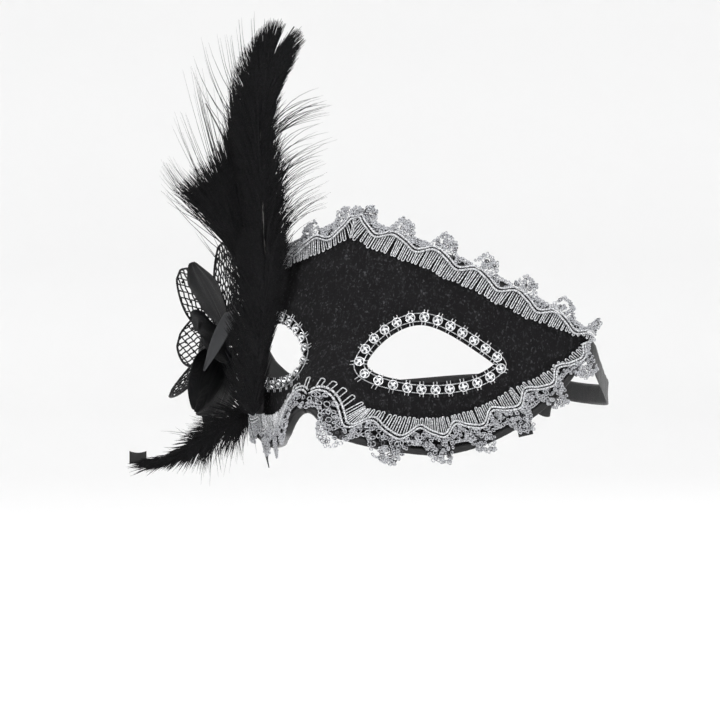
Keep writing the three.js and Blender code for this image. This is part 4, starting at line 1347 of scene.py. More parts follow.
@dataclass
class SatinTie:
    """One satin ribbon, from its glued end behind the tip to the knot."""

    side: Side
    route: list[Triple]
    width: float = 10.0
    wall: float = 0.4
    tip_reach: float = 119.0
    height: float = -1.0
    lift: float = -1.85
    anchors: Pairs = ((19, 0), (12, 0), (5, 0.3), (-3, 1))

    def path(self) -> Array:
        """Returns the ribbon's centre line in metres."""
        start = [FORM.point(self.side.value * (self.tip_reach - setback), self.height,
                            self.lift - ease) / MM for setback, ease in self.anchors]
        return through([*start, *self.route], 60) * MM

    def build(self) -> Object:
        """Returns:
            The ribbon.
        """
        path = self.path()
        along = tangents(path)
        face = unit(np.stack([along[:, 1], -along[:, 0], np.zeros(len(along))], 1))
        rise = unit(np.cross(face, along))
        across = np.linspace(-0.5, 0.5, 9)
        s = np.linspace(0, line_length(path) / MM, len(path))[:, None]
        ripple = 0.22 * np.sin(0.21 * s + 3 * across) * np.cos(0.37 * s) * np.sin(
            np.pi * np.linspace(0, 1, len(path)))[:, None]
        cup = 0.5 * (4 * across ** 2 - 0.5)
        middle = (path[:, None] + rise[:, None] * (across * self.width)[None, :, None] * MM
                  + face[:, None] * (ripple + 0.3 * cup)[..., None] * MM)
        half = face[:, None] * self.wall / 2 * MM
        draft = MeshDraft()
        draft.plates(middle + half, middle - half)
        name = f"tie_ribbon_{self.side.word}"
        return draft.build(name + "_satin", [SATIN], replaces=[name], slot="satin")


@dataclass
class TieEnds:
    """Glue pads and felt patches behind the tips, and the bow behind the head."""

    knot: Triple = (-16.0, 188.0, -22.0)
    anchor_reach: float = 104.0
    anchor_height: float = -1.0
    ribbon_width: float = 9.5
    ribbon_wall: float = 0.4
    tail_width: float = 8.5
    pinched_width: float = 4.0
    loop_reach: float = 23.0
    loop_bulge: float = 4.0
    loop_droop: float = 30.0
    left_route: Route = (
        (88, 85, -10), (80, 108, -18), (70, 132, -23), (54, 156, -25), (32, 174, -25),
        (10, 184, -23), (-11.2, 188, -22))
    right_route: Route = (
        (-89, 82, -13), (-85, 95, -22), (-79, 113, -26), (-70, 133, -26), (-56, 155, -25),
        (-36, 176, -23), (-20.8, 187, -22))

    def build(self) -> None:
        """Builds the ties, their glued ends and the bow."""
        ribbons = {side: SatinTie(side, list(route)) for side, route in (
            (Side.LEFT, self.left_route), (Side.RIGHT, self.right_route))}
        bow = self.build_bow()
        knot = self.build_knot()
        for side, tie in ribbons.items():
            self.build_patch(side, f"tie_patch_{side.word}", (13.6, 13.6), (-3.25, -2.5), FELT,
                             "felt", 0.1)
            self.build_patch(side, f"glue_pad_{side.word}", (8.4, 12.0), (-1.4, -0.95), GLUE,
                             "hot_glue", 0.22)
            path = tie.path()
            tie.build()

    def build_patch(self, side: Side, name: str, size: Pair,
                    lifts: Pair, finish: Finish, slot: str,
                    lump: float) -> None:
        """Builds a soft-edged patch that follows the inside of the mask.

        Args:
            side: The half of the mask.
            name: Name of the node that it stands for.
            size: Width and height.
            lifts: Heights of its back and front.
            finish: Its finish.
            slot: The record's material slot.
            lump: Height of its unevenness.
        """
        h, v, rounding, rim = soft_square(25)
        u = side.value * self.anchor_reach + h * rounding * size[0] / 2
        z = self.anchor_height + v * rounding * size[1] / 2
        thick = (lifts[1] - lifts[0]) / 2
        swell = thick * np.clip(1 - rim ** 10, 0.15, 1.0)
        uneven = lump * np.sin(2.9 * h * 3 + 1.3) * np.cos(2.3 * v * 3) * (1 - rim ** 4)
        middle = (lifts[0] + lifts[1]) / 2
        draft = MeshDraft()
        draft.plates(FORM.point(u, z, middle + swell), FORM.point(u, z, middle - swell + uneven))
        draft.build(name + "_soft", [finish], replaces=[name], slot=slot)

    def strip(self, draft: MeshDraft, path: Array, width: Array, facing: Array) -> None:
        """Adds a ribbon strip along a path in metres.

        Args:
            draft: The draft to add to.
            path: Its centre line.
            width: Its width at each point.
            facing: The way that its face looks at each point.
        """
        along = tangents(path)
        across = unit(np.cross(along, facing))
        face = unit(np.cross(across, along))
        share = np.linspace(-0.5, 0.5, 7)
        middle = path[:, None] + across[:, None] * (share[None] * width[:, None])[..., None] * MM
        crease = 0.35 * np.cos(2 * np.pi * share) * np.exp(
            -np.linspace(0, 3, len(path)))[:, None]
        middle = middle + face[:, None] * crease[..., None] * MM
        half = face[:, None] * self.ribbon_wall / 2 * MM
        draft.plates(middle + half, middle - half)

    def build_bow(self) -> dict[Side, Object]:
        """Builds a loop and a tail on each side of the knot.

        Returns:
            The bow's piece on each side.
        """
        made = {}
        centre = np.array(self.knot)
        lean = math.cos(math.radians(self.loop_droop))
        for side in Side:
            sign = side.value
            droop = np.array([lean * sign, 0, -0.5])
            rise = np.array([0.5 * sign, 0, lean])
            turn = np.linspace(0, 1, 41)[:, None]
            out = self.loop_reach * np.sin(np.pi * turn) ** 0.8
            bulge = self.loop_bulge * np.sin(2 * np.pi * turn)
            start = centre + (sign * 5.0, 4.6, -1.0)
            loop = start + droop * out + np.array([0, 0.55, 0]) * bulge
            loop = loop + rise * 0.3 * bulge
            facing = unit(np.cross(tangents(loop), np.broadcast_to(rise, loop.shape)))
            draft = MeshDraft()
            width = lerp(self.pinched_width, self.ribbon_width, smooth(out[:, 0] / 12.0))
            self.strip(draft, loop * MM, width, facing)
            fall = np.linspace(0, 1, 25)[:, None]
            tail = centre + (sign * 2.6, 1.6, -4.6) + np.array([sign * 9.0, 0.4, -22.5]) * fall
            tail = tail + np.array([sign * 1.2, 0.5, 0]) * np.sin(3.0 * fall)
            looks = np.broadcast_to(np.array([0.0, 1.0, 0.1]), tail.shape)
            width = lerp(self.pinched_width, self.tail_width, smooth(fall[:, 0] * 3))
            self.strip(draft, tail * MM, width, looks)
            word = side.word
            made[side] = draft.build(f"bow_{word}_satin", [SATIN], slot="satin",
                                     replaces=[f"bow_loop_{word}", f"bow_tail_{word}"])
        return made

    def build_knot(self) -> Object:
        """Builds the knot: a pillow of satin wrapped by a band.

        Returns:
            The knot.
        """
        centre = np.array(self.knot)
        v, h = np.meshgrid(np.linspace(0.04, np.pi - 0.04, 25),
                           np.linspace(0, 2 * np.pi, 41)[:-1], indexing="ij")
        fold = 1 + 0.06 * np.sin(5 * h + 2 * v) + 0.05 * np.cos(3 * h)
        size = np.array([4.4, 3.4, 3.9])
        ball = np.stack([np.cos(v), np.sin(v) * np.cos(h), np.sin(v) * np.sin(h)], -1)
        power = np.sign(ball) * np.abs(ball) ** 0.8
        points = (centre + power * size * fold[..., None]) * MM
        draft = MeshDraft()
        draft.turned(points)
        return draft.build("tie_knot_satin", [SATIN], replaces=["tie_knot"], slot="satin")


# ---- flower ------------------------------------------------------------------------------


@dataclass(frozen=True)
class Petal:
    """One petal's place and size about the flower's core."""

    name: str
    azimuth: float
    flare: float
    tier: float
    length: float
    half_width: float

    def reach(self, s: Array) -> Array:
        """Returns its half width at shares of its length."""
        swell = np.maximum(np.sin(np.pi * s ** 1.25), 0) ** 0.75 * (1 - 0.16 * s)
        return self.half_width * (0.16 + 0.84 * swell)


@dataclass
class Flower:
    """Net and taffeta petals on a felt base, with a leaf and a satin tail."""

    u: float = -88.0
    z: float = 3.0
    lift: float = 4.75
    core_radius: float = 4.0
    root_gap: float = 0.5
    twist: float = 14.0
    satin_twist: float = 34.0
    cup: float = 3.0
    lower: float = 2.9
    upper: float = 5.8
    net_radius: float = 0.34
    rim_radius: float = 0.55
    cloth_half: float = 0.16
    net_cell: float = 3.7
    tail_place: Pair = (-62.0, -41.0)
    tail_lift: float = -1.85

    def __post_init__(self) -> None:
        """Finds the flower's axes on the face."""
        self.origin = FORM.point(self.u, self.z, self.lift) / MM
        self.axes = np.array(FORM.axes(self.u, self.z))
        self.net = [Petal("net_petal_1", 343, 9, self.lower, 42, 17),
                    Petal("net_petal_2", 319, 34, self.upper, 40, 15),
                    Petal("net_petal_3", 264, 36, self.upper, 34, 15),
                    Petal("net_petal_4", 214, 37, self.upper, 38, 17)]
        self.satin = [Petal("satin_petal_1", 8, 30, self.upper, 35, 12.5),
                      Petal("satin_petal_2", 88, 24, self.upper, 34, 16),
                      Petal("satin_petal_3", 278, 12, self.lower, 36, 16),
                      Petal("satin_petal_4", 150, 20, self.upper, 38, 17),
                      Petal("satin_petal_5", 182, 8, self.lower, 42, 16)]

    def world(self, local: Array) -> Array:
        """Turns points in the flower's own axes into metres in the frame."""
        return (self.origin + local @ self.axes) * MM

    def build(self) -> None:
        """Builds every piece of the flower."""
        self.build_middle()
        for number, petal in enumerate(self.net):
            self.build_net(petal, number)
        for number, petal in enumerate(self.satin):
            self.build_satin(petal, number)
        self.build_leaf()
        self.build_tail()

    def surface(self, petal: Petal, s: Array, w: Array) -> tuple[Array, Array]:
        """Returns local points of a petal's middle sheet and its face direction.

        Args:
            petal: The petal.
            s: Shares of its length.
            w: Shares of its half width.

        Returns:
            The points, and the direction that the petal faces.
        """
        twist = self.satin_twist if petal in self.satin else self.twist
        turn, rise, lean = (math.radians(a) for a in (petal.azimuth, petal.flare, twist))
        radial = np.array([math.sin(turn), math.cos(turn), 0.0])
        outward = np.array([0.0, 0.0, 1.0])
        along = radial * math.cos(rise) + outward * math.sin(rise)
        flat = np.array([math.cos(turn), -math.sin(turn), 0.0])
        across = flat * math.cos(lean) + np.cross(along, flat) * math.sin(lean)
        face = unit(np.cross(along, across))
        face = face if face[2] > 0 else -face
        root = radial * (self.core_radius + self.root_gap) + outward * petal.tier
        cup = self.cup * s * (1 - s) * (w * w - 1)
        points = (root + along * (petal.length * s)[..., None]
                  + across * (petal.reach(s) * w)[..., None] + face * cup[..., None])
        return points, face

    def build_net(self, petal: Petal, number: int) -> None:
        """Builds a petal of open net with a corded, dotted edge.

        Args:
            petal: The petal.
            number: Its number, which seeds its irregularities.
        """
        rng = np.random.default_rng(SEED + 10 + number)
        draft = MeshDraft()
        width = 2 * petal.half_width
        s = np.linspace(0.0, 1.0, 60)
        for lean in (-1, 1):
            for start in np.arange(-petal.length, width + petal.length, self.net_cell):
                x = start + lean * s * petal.length * 0.62 - width / 2
                if lean > 0:
                    x -= petal.length * 0.3
                self.add_net_threads(draft, petal, s, x / petal.reach(s), rng)
        rim = np.linspace(0, 1, 70)
        s = np.concatenate([rim, rim[::-1]])
        w = np.concatenate([np.full(70, -1.0), np.full(70, 1.0)])
        edge, face = self.surface(petal, s * 0.995, w)
        edge = np.vstack([edge, edge[:1]])
        draft.tubes(self.world(edge), self.rim_radius * MM, face @ self.axes, 6)
        self.add_dots(draft, petal, rng)
        draft.build(petal.name + "_net", [NET], replaces=[petal.name], slot="net")

    def add_net_threads(self, draft: MeshDraft, petal: Petal, s: Array, w: Array,
                        rng: Random) -> None:
        """Adds the stretches of one net thread that lie inside the petal."""
        marks = np.flatnonzero(np.abs(w) < 1)
        for run in np.split(marks, np.flatnonzero(np.diff(marks) > 1) + 1):
            if len(run) < 4:
                continue
            points, face = self.surface(petal, s[run], np.clip(w[run], -1, 1))
            wobble = 0.25 * np.sin(np.linspace(0, len(run) * 0.9, len(run)) + rng.uniform(0, 6))
            points = points + face * wobble[:, None]
            draft.tubes(self.world(points), self.net_radius * MM, face @ self.axes, 4)

    def add_dots(self, draft: MeshDraft, petal: Petal, rng: Random) -> None:
        """Adds the knots of thread that dot the petal's edge and its field."""
        rim = np.arange(0.12, 1.0, 2.6 / petal.length)
        s = np.concatenate([rim, rim, rng.uniform(0.2, 0.9, 16)])
        w = np.concatenate([np.full(len(rim), -0.97), np.full(len(rim), 0.97),
                            rng.uniform(-0.85, 0.85, 16)])
        points, face = self.surface(petal, s, w)
        reach = np.array([-0.5, -0.2, 0.2, 0.5])[None, :, None]
        across = np.cross(face, np.array([0.3, 0.5, 0.8]))
        paths = points[:, None] + unit(across) * reach
        radii = np.array([0.25, 0.72, 0.72, 0.25]) * MM
        draft.tubes(self.world(paths), radii, face @ self.axes, 6)

    def build_satin(self, petal: Petal, number: int) -> None:
        """Builds a cloth petal with soft creases and a curled rim.

        Args:
            petal: The petal.
            number: Its number, which sets its creases.
        """
        s, w = np.meshgrid(np.linspace(0, 1, 44), np.linspace(-1, 1, 37), indexing="ij")
        points, face = self.surface(petal, s, w)
        phase = 1.7 * number
        crease = 0.55 * np.sin(9 * w + 3 * s + phase) * s * (0.35 + 0.65 * np.abs(w))
        curl = 1.5 * np.clip(np.abs(w) - 0.72, 0, 1) ** 1.3 * 3 * s
        ruffle = 0.7 * np.sin(13 * s + 2 * w + phase) * np.clip(np.abs(w) - 0.4, 0, 1)
        vein = -0.35 * np.exp(-(w / 0.06) ** 2) * (1 - s)
        points = points + face * (crease + curl + ruffle + vein)[..., None]
        draft = MeshDraft()
        thick = face * self.cloth_half
        draft.plates(self.world(points + thick), self.world(points - thick))
        piece = draft.build(petal.name + "_taffeta", [TAFFETA], replaces=[petal.name],
                            slot="satin")
        grid_area(self.world(points))

    def build_leaf(self) -> None:
        """Builds the narrow grey leaf that bends down before the front petal."""
        path = through([(13, 5, 2.2), (26, 15, 3), (36.5, 13, 5), (38, 0, 11),
                        (38.5, -15, 17)], 40)
        share = np.linspace(0, 1, 41)
        along = tangents(path)
        facing = np.stack([share, 0 * share, 1 - share], 1)
        across = unit(np.cross(along, facing))
        face = unit(np.cross(across, along))
        width = 0.5 + 3.1 * np.sin(np.pi * share ** 1.3) ** 1.1
        w = np.linspace(-1, 1, 13)
        fold = 0.5 * np.abs(w)[None, :, None] * face[:, None]
        middle = path[:, None] + across[:, None] * (width[:, None] * w)[..., None] + fold
        draft = MeshDraft()
        thick = face[:, None] * 0.15
        draft.plates(self.world(middle + thick), self.world(middle - thick))
        leaf = draft.build("satin_leaf_cloth", [ASH_SATIN], replaces=["satin_leaf"],
                           slot="grey_satin")
        grid_area(self.world(middle))

    def build_tail(self) -> None:
        """Builds the pointed tail that hangs from the lining under the flower."""
        rows = np.linspace(9, -16.6, 30)
        left = np.interp(-rows, [-9, 5, 17], [-5, -5, 2])
        right = np.interp(-rows, [-9, 3, 17], [5, 5, 2])
        w = np.linspace(0, 1, 11)
        across, up, normal = FORM.axes(*self.tail_place)
        origin = FORM.point(*self.tail_place, self.tail_lift) / MM
        x = lerp(left[:, None], right[:, None], w) - 0.28 * (9 - rows[:, None])
        y = np.broadcast_to(rows[:, None], x.shape)
        wave = 0.35 * np.sin(0.5 * x + 0.3 * y) * np.clip((9 - y) / 26, 0, 1)
        middle = (origin + x[..., None] * across + y[..., None] * up + wave[..., None] * normal)
        draft = MeshDraft()
        draft.plates((middle + normal * 0.18) * MM, (middle - normal * 0.18) * MM)
        tail = draft.build("satin_tail_cloth", [ASH_SATIN], replaces=["satin_tail"],
                           slot="grey_satin")

    def build_middle(self) -> None:
        """Builds the felt base, the wound core and the gathered button."""
        self.build_disc("flower_base", [(0.01, 0.0), (11.6, 0.0), (12.0, 0.3), (12.0, 0.9),
                                        (11.6, 1.2), (0.01, 1.2)], FELT, "felt", 0.12)
        self.build_disc("flower_core", [(0.01, 1.5), (3.8, 1.5), (4.0, 2.0), (3.7, 5.0),
                                        (4.0, 9.0), (3.7, 9.5), (0.01, 9.5)], FELT, "felt",
                        0.15)
        dome = [(6.0 * math.cos(a), 9.85 + 3.5 * math.sin(a))
                for a in np.linspace(0.0, 1.5, 9)]
        self.build_disc("flower_centre", [(0.01, 9.85), *dome, (0.01, 13.4)], SATIN, "satin",
                        0.3)

    def build_disc(self, name: str, profile: Sequence[Pair], finish: Finish,
                   slot: str, gather: float) -> None:
        """Builds a turned piece with gathers round its side.

        Args:
            name: Name of the node that it stands for.
            profile: Radii and heights from the axis round to the axis again.
            finish: Its finish.
            slot: The record's material slot.
            gather: Depth of the gathers.
        """
        turn = np.linspace(0, 2 * np.pi, 73)[:-1]
        rings = []
        for radius, height in profile:
            r = radius - gather * (0.5 + 0.5 * np.sin(12 * turn)) * min(1.0, radius / 4)
            rings.append(np.stack([r * np.cos(turn), r * np.sin(turn),
                                   np.full_like(turn, height)], -1))
        draft = MeshDraft()
        draft.turned(self.world(np.array(rings)))
        draft.build(name + "_soft", [finish], replaces=[name], slot=slot)


# ---- feathers ----------------------------------------------------------------------------


@dataclass
class FeatherPlane:
    """The upright plane that the feathers stand in, turned from the mask's front."""

    turn: float = 32.0
    seat_u: float = -50.0
    seat_z: float = -24.0
    seat_lift: float = 9.357

    def __post_init__(self) -> None:
        """Finds the plane's axes and the middle of the quill binding."""
        angle = math.radians(self.turn)
        self.along = np.array([math.cos(angle), math.sin(angle), 0.0])
        self.back = np.array([-math.sin(angle), math.cos(angle), 0.0])
        self.binding = FORM.point(self.seat_u, self.seat_z, self.seat_lift) / MM

    def world(self, local: Array) -> Array:
        """Turns distances from the binding's middle into metres in the frame."""
        local = np.asarray(local, float)
        return (self.binding + local[..., 0:1] * self.along + local[..., 1:2] * self.back
                + local[..., 2:3] * np.array([0, 0, 1.0])) * MM


@dataclass(frozen=True)
class Barbs:
    """One growth of barbs: where their tips end and how they leave the spine."""

    tips: Pairs
    count: int
    lag: float
    bend: Pair = (0.25, 0.6)
    fill: float = 1.0
    width: float = 0.75
    jitter: float = 1.2
    depth: float = 1.6
    clumps: int = 0
    steps: int = 9
    lean: float = 0.0


LEFT_SILHOUETTE = ((-1.7, 66), (-7.7, 73), (-10.4, 82), (-17, 89.4), (-25, 93), (-34.5, 97.5),
                   (-28.6, 102.5), (-22.8, 108.3), (-17.7, 114.1), (-11.9, 122.8),
                   (-9, 132.3), (-8.3, 143.2), (-6.8, 151.9))
RIGHT_SILHOUETTE = ((18.6, 60), (18.6, 79.3), (20, 92.3), (17.1, 98.1), (18.6, 109.8),
                    (15, 117.7), (12.5, 127.2), (14.2, 135.9), (14.6, 144.6))
INNER_LOBE = ((-6.8, 150), (-3.6, 157), (-0.4, 162), (6.9, 170), (11.3, 173), (16, 171.5),
              (11.5, 166), (6, 158), (2, 150))
OUTER_LOBE = ((14.2, 144.6), (18.5, 151), (21.5, 157.7), (24.4, 163.6), (22.9, 168.6),
              (18.5, 166), (13, 160), (9, 153))
LEFT_WISPS = ((-18.6, 74.2), (-22.1, 78.5), (-21.3, 82.1), (-28.6, 86.1), (-37.3, 93),
              (-39.6, 103.2), (-37.3, 107.5), (-38.2, 114.1), (-39.6, 119.2),
              (-35.2, 122.1), (-33.7, 129), (-25.7, 133), (-22.8, 138), (-21.8, 141.7),
              (-26.5, 151.9), (-23.5, 157.7), (-20.4, 164.3), (-12.7, 164.3),
              (-6, 170), (-0.4, 175.2), (4.8, 175.9))
RIGHT_WISPS = ((24.4, 76.3), (32.5, 79.6), (36.8, 87.9), (33.8, 93), (36.4, 97),
               (31, 100.3), (33.1, 108.4), (33.1, 111.2), (31, 118.1), (38.6, 116.6),
               (30.2, 125.7), (33.1, 129.4), (37.5, 132.2), (31.7, 134.4), (31, 138.8),
               (27.3, 142.8))


@dataclass
class Feathers:
    """The plume of two feathers with its down, and the curled feather with its flag."""

    plane: FeatherPlane = field(default_factory=FeatherPlane)
    quill_radius: float = 0.95
    quill_end: float = 0.3
    pad_half_width: float = 5.4
    pad_half_height: float = 6.4
    pad_lift: float = 5.25
    coil_turns: int = 15
    coil_radius: float = 2.62
    coil_half_height: float = 4.6
    coil_thread: float = 0.36
    back_rooted: int = 205
    front_spine: Route = (
        (1.4, 0, 5.6), (4.6, -2.8, 20), (6.2, -5, 36), (6.7, -7.4, 76), (4.8, -7.8, 108),
        (6.7, -7.8, 136), (12.3, -7.6, 157), (20.3, -7.4, 169.7))
    back_spine: Route = (
        (-1.5, 0, 5.6), (-0.6, -0.6, 24), (0.2, -0.8, 48), (0.2, 0.6, 76), (-5.9, 2, 100),
        (-12.4, 2.6, 120), (-20.4, 3, 136))
    curl_spine: Route = (
        (-1.2, 0, -5.9), (-4.5, 0, -8.8), (-11, 0, -11.6), (-20.4, 0, -17),
        (-29.7, 0, -23.8), (-39, 0, -28), (-46, 0, -29.4), (-50.5, 0, -27.6))

    def build(self) -> None:
        """Builds every feather and its seat."""
        self.build_seat()
        self.build_quill("front_quill", self.front_spine, Body.PLUME, QUILL)
        self.build_quill("back_quill", self.back_spine, Body.PLUME, QUILL)
        self.build_quill("curl_quill", self.curl_spine, Body.CURL, FEATHER)
        front = through(self.front_spine, 300)
        back = through(self.back_spine, 300)[:self.back_rooted]
        self.build_barbs("front_vane_left", front, Body.PLUME, 1, [
            Barbs(((0, 75), (-3, 95), (-8, 120), (-9.5, 136), (-8, 149)), 900, 38, fill=0.7,
                  width=0.95),
            Barbs(INNER_LOBE, 420, 34, (0.15, 0.55), 0.0, 0.9, 0.7, 1.0),
            Barbs(LEFT_WISPS[14:], 22, 42, (0.75, 0.45), 0.0, 0.42, 2.0, 2.5)])
        self.build_barbs("front_vane_right", front, Body.PLUME, 2, [
            Barbs(RIGHT_SILHOUETTE, 760, 36, width=0.85, lean=0.12),
            Barbs(OUTER_LOBE, 420, 36, (0.2, 0.6), 0.0, 0.9, 0.7, 1.0),
            Barbs(RIGHT_SILHOUETTE, 200, 20, (0.2, 0.5), 0.0, 0.6, 2.6, 2.0, lean=0.15),
            Barbs(RIGHT_WISPS, 74, 26, (0.3, 0.8), 0.0, 0.42, 2.4, 2.2, 20, lean=0.2)])
        self.build_barbs("back_vane_left", back, Body.PLUME, 3, [
            Barbs(LEFT_SILHOUETTE, 1900, 34, (0.4, 0.5), 0.65, 1.0, 1.2, 1.4),
            Barbs(LEFT_SILHOUETTE, 300, 24, (0.45, 0.4), 0.0, 0.6, 2.0, 2.0),
            Barbs(LEFT_WISPS[:15], 70, 30, (0.6, 0.4), 0.0, 0.42, 2.4, 3.0, 20)])
        self.build_barbs("back_vane_right", back, Body.PLUME, 4, [
            Barbs(((5, 62), (3, 85), (1, 110), (-1, 128), (-4, 140)), 420, 30)])
        self.build_down()
        self.build_curl()

    def build_seat(self) -> None:
        """Builds the felt pad and the thread whipping that hold the quills."""
        h, v, rounding, rim = soft_square(21)
        u = self.plane.seat_u + h * rounding * self.pad_half_width
        z = self.plane.seat_z + v * rounding * self.pad_half_height
        swell = 0.5 * np.clip(1 - rim ** 10, 0.2, 1)
        draft = MeshDraft()
        draft.plates(FORM.point(u, z, self.pad_lift + swell),
                     FORM.point(u, z, self.pad_lift - swell))
        draft.build("quill_pad_felt", [FELT], replaces=["quill_pad"], slot="felt")
        turn = np.linspace(0, 2 * np.pi * self.coil_turns, self.coil_turns * 24)
        rise = np.linspace(-self.coil_half_height, self.coil_half_height, len(turn))
        circle = self.coil_radius * np.stack([np.cos(turn), np.sin(turn)])
        coil = np.stack([*circle, rise], 1)
        outward = self.plane.world(coil) - self.plane.world(coil * (0, 0, 1))
        draft = MeshDraft()
        draft.tubes(self.plane.world(coil), self.coil_thread * MM, unit(outward)[None], 6)
        core = np.stack([np.zeros(9), np.zeros(9), np.linspace(-4.9, 4.9, 9)], 1)
        radii = np.array([2.0, 2.4, 2.45, 2.45, 2.45, 2.45, 2.45, 2.4, 2.0]) * MM
        draft.tubes(self.plane.world(core), radii, self.plane.back, 20)
        draft.build("quill_binding_thread", [SATIN], replaces=["quill_binding"], slot="satin")

    def build_quill(self, name: str, spine: Sequence[Triple],
                    body: Body, finish: Finish) -> None:
        """Builds a quill that tapers along its spine.

        Args:
            name: Name of the node that it stands for.
            spine: Distances from the binding's middle.
            body: The body that it rides on.
            finish: Its finish.
        """
        path = through(spine, 90)
        radii = lerp(self.quill_radius, self.quill_end, np.linspace(0, 1, len(path)) ** 0.8)
        draft = MeshDraft()
        draft.tubes(self.plane.world(path), radii * MM, self.plane.back, 10)
        draft.build(name + "_shaft", [finish], body, [name], "quill")

    def barb_paths(self, spine: Array, growth: Barbs, rng: Random) -> tuple[Array, Array]:
        """Returns the paths and radii of one growth of barbs.

        Args:
            spine: Even points of the spine.
            growth: How the barbs grow.
            rng: The feather's random source.

        Returns:
            Paths as distances from the binding, and radii in metres.
        """
        line = resample(np.array(growth.tips, float), 240)
        picks = rng.uniform(0, 240, growth.count)
        if growth.clumps:
            middles = rng.uniform(0, 240, growth.clumps)
            picks = rng.choice(middles, growth.count) + rng.normal(0, 2.0, growth.count)
        picks = np.clip(picks, 0, 240)
        tip = np.stack([np.interp(picks, np.arange(241), line[:, k]) for k in range(2)], 1)
        gaps = np.linalg.norm(tip[:, None] - spine[None][..., [0, 2]], axis=-1)
        nearest = gaps.argmin(1)
        share = 1 - growth.fill * rng.uniform(0, 1, growth.count) ** 1.3
        tip = lerp(spine[nearest][:, [0, 2]], tip, share[:, None])
        tip = tip + rng.normal(0, growth.jitter, tip.shape)
        pace = line_length(spine) / (len(spine) - 1)
        back = growth.lag * rng.uniform(0.75, 1.25, growth.count) / pace
        root = spine[np.clip(nearest - back, 0, len(spine) - 1).astype(int)]
        depth = (root[:, 1] + rng.normal(0, growth.depth, growth.count)
                 - growth.lean * np.abs(tip[:, 0] - root[:, 0]))
        end = np.stack([tip[:, 0], depth, tip[:, 1]], 1)
        p, q = growth.bend
        share = np.array([p, 0.5, q]) * rng.uniform(0.85, 1.15, (growth.count, 1))
        control = lerp(root, end, share)
        t = np.linspace(0, 1, growth.steps)[None, :, None]
        path = ((1 - t) ** 2 * root[:, None] + 2 * (1 - t) * t * control[:, None]
                + t ** 2 * end[:, None])
        sway = rng.normal(0, 0.25, path.shape) * t * (1 - 0.5 * t)
        taper = np.clip(1.12 - t[0, :, 0] ** 2, 0.14, 1.0)
        return path + sway, growth.width / 2 * taper[None] * np.ones((len(path), 1)) * MM

    def build_barbs(self, name: str, spine: Array, body: Body, number: int,
                    growths: Sequence[Barbs]) -> None:
        """Builds a vane from its growths of barbs.

        Args:
            name: Name of the node that it stands for.
            spine: Even points of the spine.
            body: The body that it rides on.
            number: Seed of its irregularities.
            growths: The growths of barbs in it.
        """
        rng = np.random.default_rng(SEED + 100 + number)
        draft = MeshDraft()
        for growth in growths:
            paths, radii = self.barb_paths(spine, growth, rng)
            world = self.plane.world(paths)
            draft.tubes(world, radii, self.plane.back, 4, flat=0.3)
        draft.build(name + "_barbs", [FEATHER], body, [name], "feather")

    def build_down(self) -> None:
        """Builds the dense down that hides the quills at the plume's base."""
        spine = through([(1.6, -9.5, -6), (4.4, -11.5, 22), (7.2, -12.5, 52), (8.4, -12.5, 88)],
                        160)
        left = ((-9.5, 2), (-10.5, 12), (-10.5, 40), (-9, 62), (-3, 80))
        right = ((6, 0), (8, 10), (10, 24), (12.5, 36), (16, 48), (18, 62), (18, 82))
        self.build_barbs("plume_down", spine, Body.PLUME, 5, [
            Barbs(left, 900, 22, (0.5, 0.5), 0.8, 0.9, 0.9, 1.0, steps=7),
            Barbs(right, 620, 22, (0.5, 0.5), 1.0, 0.85, 0.9, 1.0, steps=7, lean=0.1),
            Barbs(right[3:], 90, 16, (0.5, 0.4), 0.0, 0.4, 1.2, 1.2, steps=7, lean=0.15),
            Barbs(left, 60, 16, (0.5, 0.4), 0.0, 0.4, 1.2, 1.4, steps=7)])

    def build_curl(self) -> None:
        """Builds the curled feather's down and the small flag at its end."""
        spine = through(self.curl_spine, 200)
        above = ((-6, -1), (-11, 3), (-18, 0), (-25, -9), (-33, -18), (-40, -25), (-57, -30))
        below = ((-2, -15), (-8, -22), (-15, -27), (-24, -30), (-34, -31), (-57, -32))
        self.build_barbs("curl_down", spine, Body.CURL, 6, [
            *(Barbs(line, 560, 13, (0.5, 0.4), 1.0, 0.65, 1.2, 2.2, steps=7)
              for line in (above, below)),
            Barbs(above[:5], 90, 11, (0.4, 0.3), 0.0, 0.38, 3.2, 3.0, 12, steps=7),
            Barbs(below[:4], 170, 11, (0.4, 0.3), 0.0, 0.38, 3.4, 3.0, 14, steps=7)])
        h, v = np.meshgrid(np.linspace(-1, 1, 16), np.linspace(-1, 1, 12))
        dip = 0.35 * np.sin(3.2 * h) * np.cos(1.8 * v)
        local = np.stack([3.9 * h - 51.6, dip, (2.3 + 0.8 * h * h) * v - 25.9], -1)
        draft = MeshDraft()
        thick = np.array([0, 0.2, 0])
        draft.plates(self.plane.world(local - thick), self.plane.world(local + thick))
        draft.build("curl_flag_satin", [SATIN], Body.CURL, ["curl_flag"], "satin")


# ---- studio ------------------------------------------------------------------------------


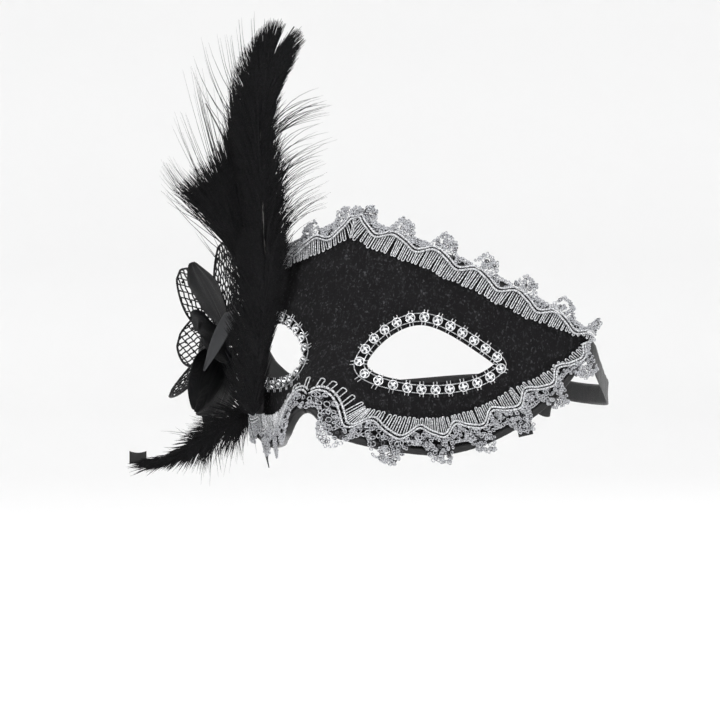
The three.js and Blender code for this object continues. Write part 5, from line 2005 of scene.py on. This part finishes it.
@dataclass
class Studio:
    """Pale sweep, soft lights and the camera."""

    azimuth: float = 32.0
    elevation: float = 2.0
    distance: float = 1.0
    lens: float = 113.6
    aim_right: float = 0.0132
    aim_down: float = 0.0044
    floor_drop: float = 0.24
    surround: float = 1.15

    def build(self) -> None:
        """Sets up the whole studio."""
        self.add_camera()
        self.add_sweep()
        self.add_world()
        self.add_light("key_light", (-0.6, -1.3, 1.1), 0.7, 8.0)
        self.add_light("side_light", (1.4, -0.7, 0.7), 0.7, 6.0)
        self.add_light("back_light", (0.1, 1.3, 1.1), 0.9, 5.0)
        bpy.context.scene.view_settings.view_transform = "Standard"

    def back_vector(self) -> Vector:
        """Returns the direction from the mask to the camera."""
        a, e = math.radians(self.azimuth), math.radians(self.elevation)
        return Vector((math.sin(a) * math.cos(e), -math.cos(a) * math.cos(e), math.sin(e)))

    def add_camera(self) -> None:
        """Adds the camera, aimed a little right of and below the bridge."""
        a = math.radians(self.azimuth)
        right = Vector((math.cos(a), math.sin(a), 0.0))
        aim = right * self.aim_right - Vector((0, 0, self.aim_down)) + Vector((0, -0.0026, 0))
        data = bpy.data.cameras.new("camera")
        data.lens = self.lens
        data.sensor_width = 36.0
        camera = add_object("camera", data)
        camera.location = aim + self.back_vector() * self.distance
        camera.rotation_euler = self.back_vector().to_track_quat("Z", "Y").to_euler()
        bpy.context.scene.camera = camera

    def add_sweep(self) -> None:
        """Adds a pale floor that is large enough to show from every side."""
        turn = np.linspace(0, 2 * np.pi, 97)[:-1]
        rings = []
        profile = [(0.001, 0.0), (1.0, 0.0), (2.2, 0.0), (2.6, 0.06), (2.95, 0.3), (3.1, 0.7),
                   (3.15, 1.4), (3.15, 3.2)]
        for radius, height in profile:
            rings.append(np.stack([radius * np.cos(turn), radius * np.sin(turn),
                                   np.full_like(turn, height - self.floor_drop)], -1))
        mesh = bpy.data.meshes.new("sweep")
        index = np.arange(len(rings) * len(turn)).reshape(len(rings), -1)
        after = np.roll(index, -1, axis=1)
        faces = np.stack([index[:-1], after[:-1], after[1:], index[1:]], -1).reshape(-1, 4)
        mesh.from_pydata(np.array(rings).reshape(-1, 3).tolist(), [], faces.tolist())
        mesh.polygons.foreach_set("use_smooth", np.ones(len(faces), bool))
        mesh.materials.append(Finish("studio_paper", (0.9, 0.9, 0.9), 0.8, bump=0.02).material())
        add_object("sweep", mesh)

    def add_world(self) -> None:
        """Adds an even pale surround."""
        world = bpy.data.worlds.new("studio")
        world.use_nodes = True
        surround = world.node_tree.nodes["Background"].inputs
        surround["Color"].default_value = (1, 1, 1, 1)
        surround["Strength"].default_value = self.surround
        bpy.context.scene.world = world

    def add_light(self, name: str, place: Triple, size: float, power: float) -> None:
        """Adds a soft area light that looks at the mask.

        Args:
            name: The light's name.
            place: Its place in metres.
            size: Its width in metres.
            power: Its power in watts.
        """
        data = bpy.data.lights.new(name, "AREA")
        data.size = size
        data.energy = power
        light = add_object(name, data)
        light.location = place
        light.rotation_euler = Vector(place).to_track_quat("Z", "Y").to_euler()


def main() -> None:
    """Builds the mask's looks piece by piece."""
    logging.basicConfig(level=logging.INFO, format="%(message)s")
    builders: list[tuple[str, Callable[[], None]]] = [
        ("studio", Studio().build), ("ties", TieEnds().build), ("mask", MaskBody().build),
        ("braid", SilverBraid().build), ("stones", RhinestoneChain().build),
        ("flower", Flower().build), ("feathers", Feathers().build)]
    for label, build in builders:
        build()
        LOG.info("%s done", label)


if __name__ == "__main__":
    main()
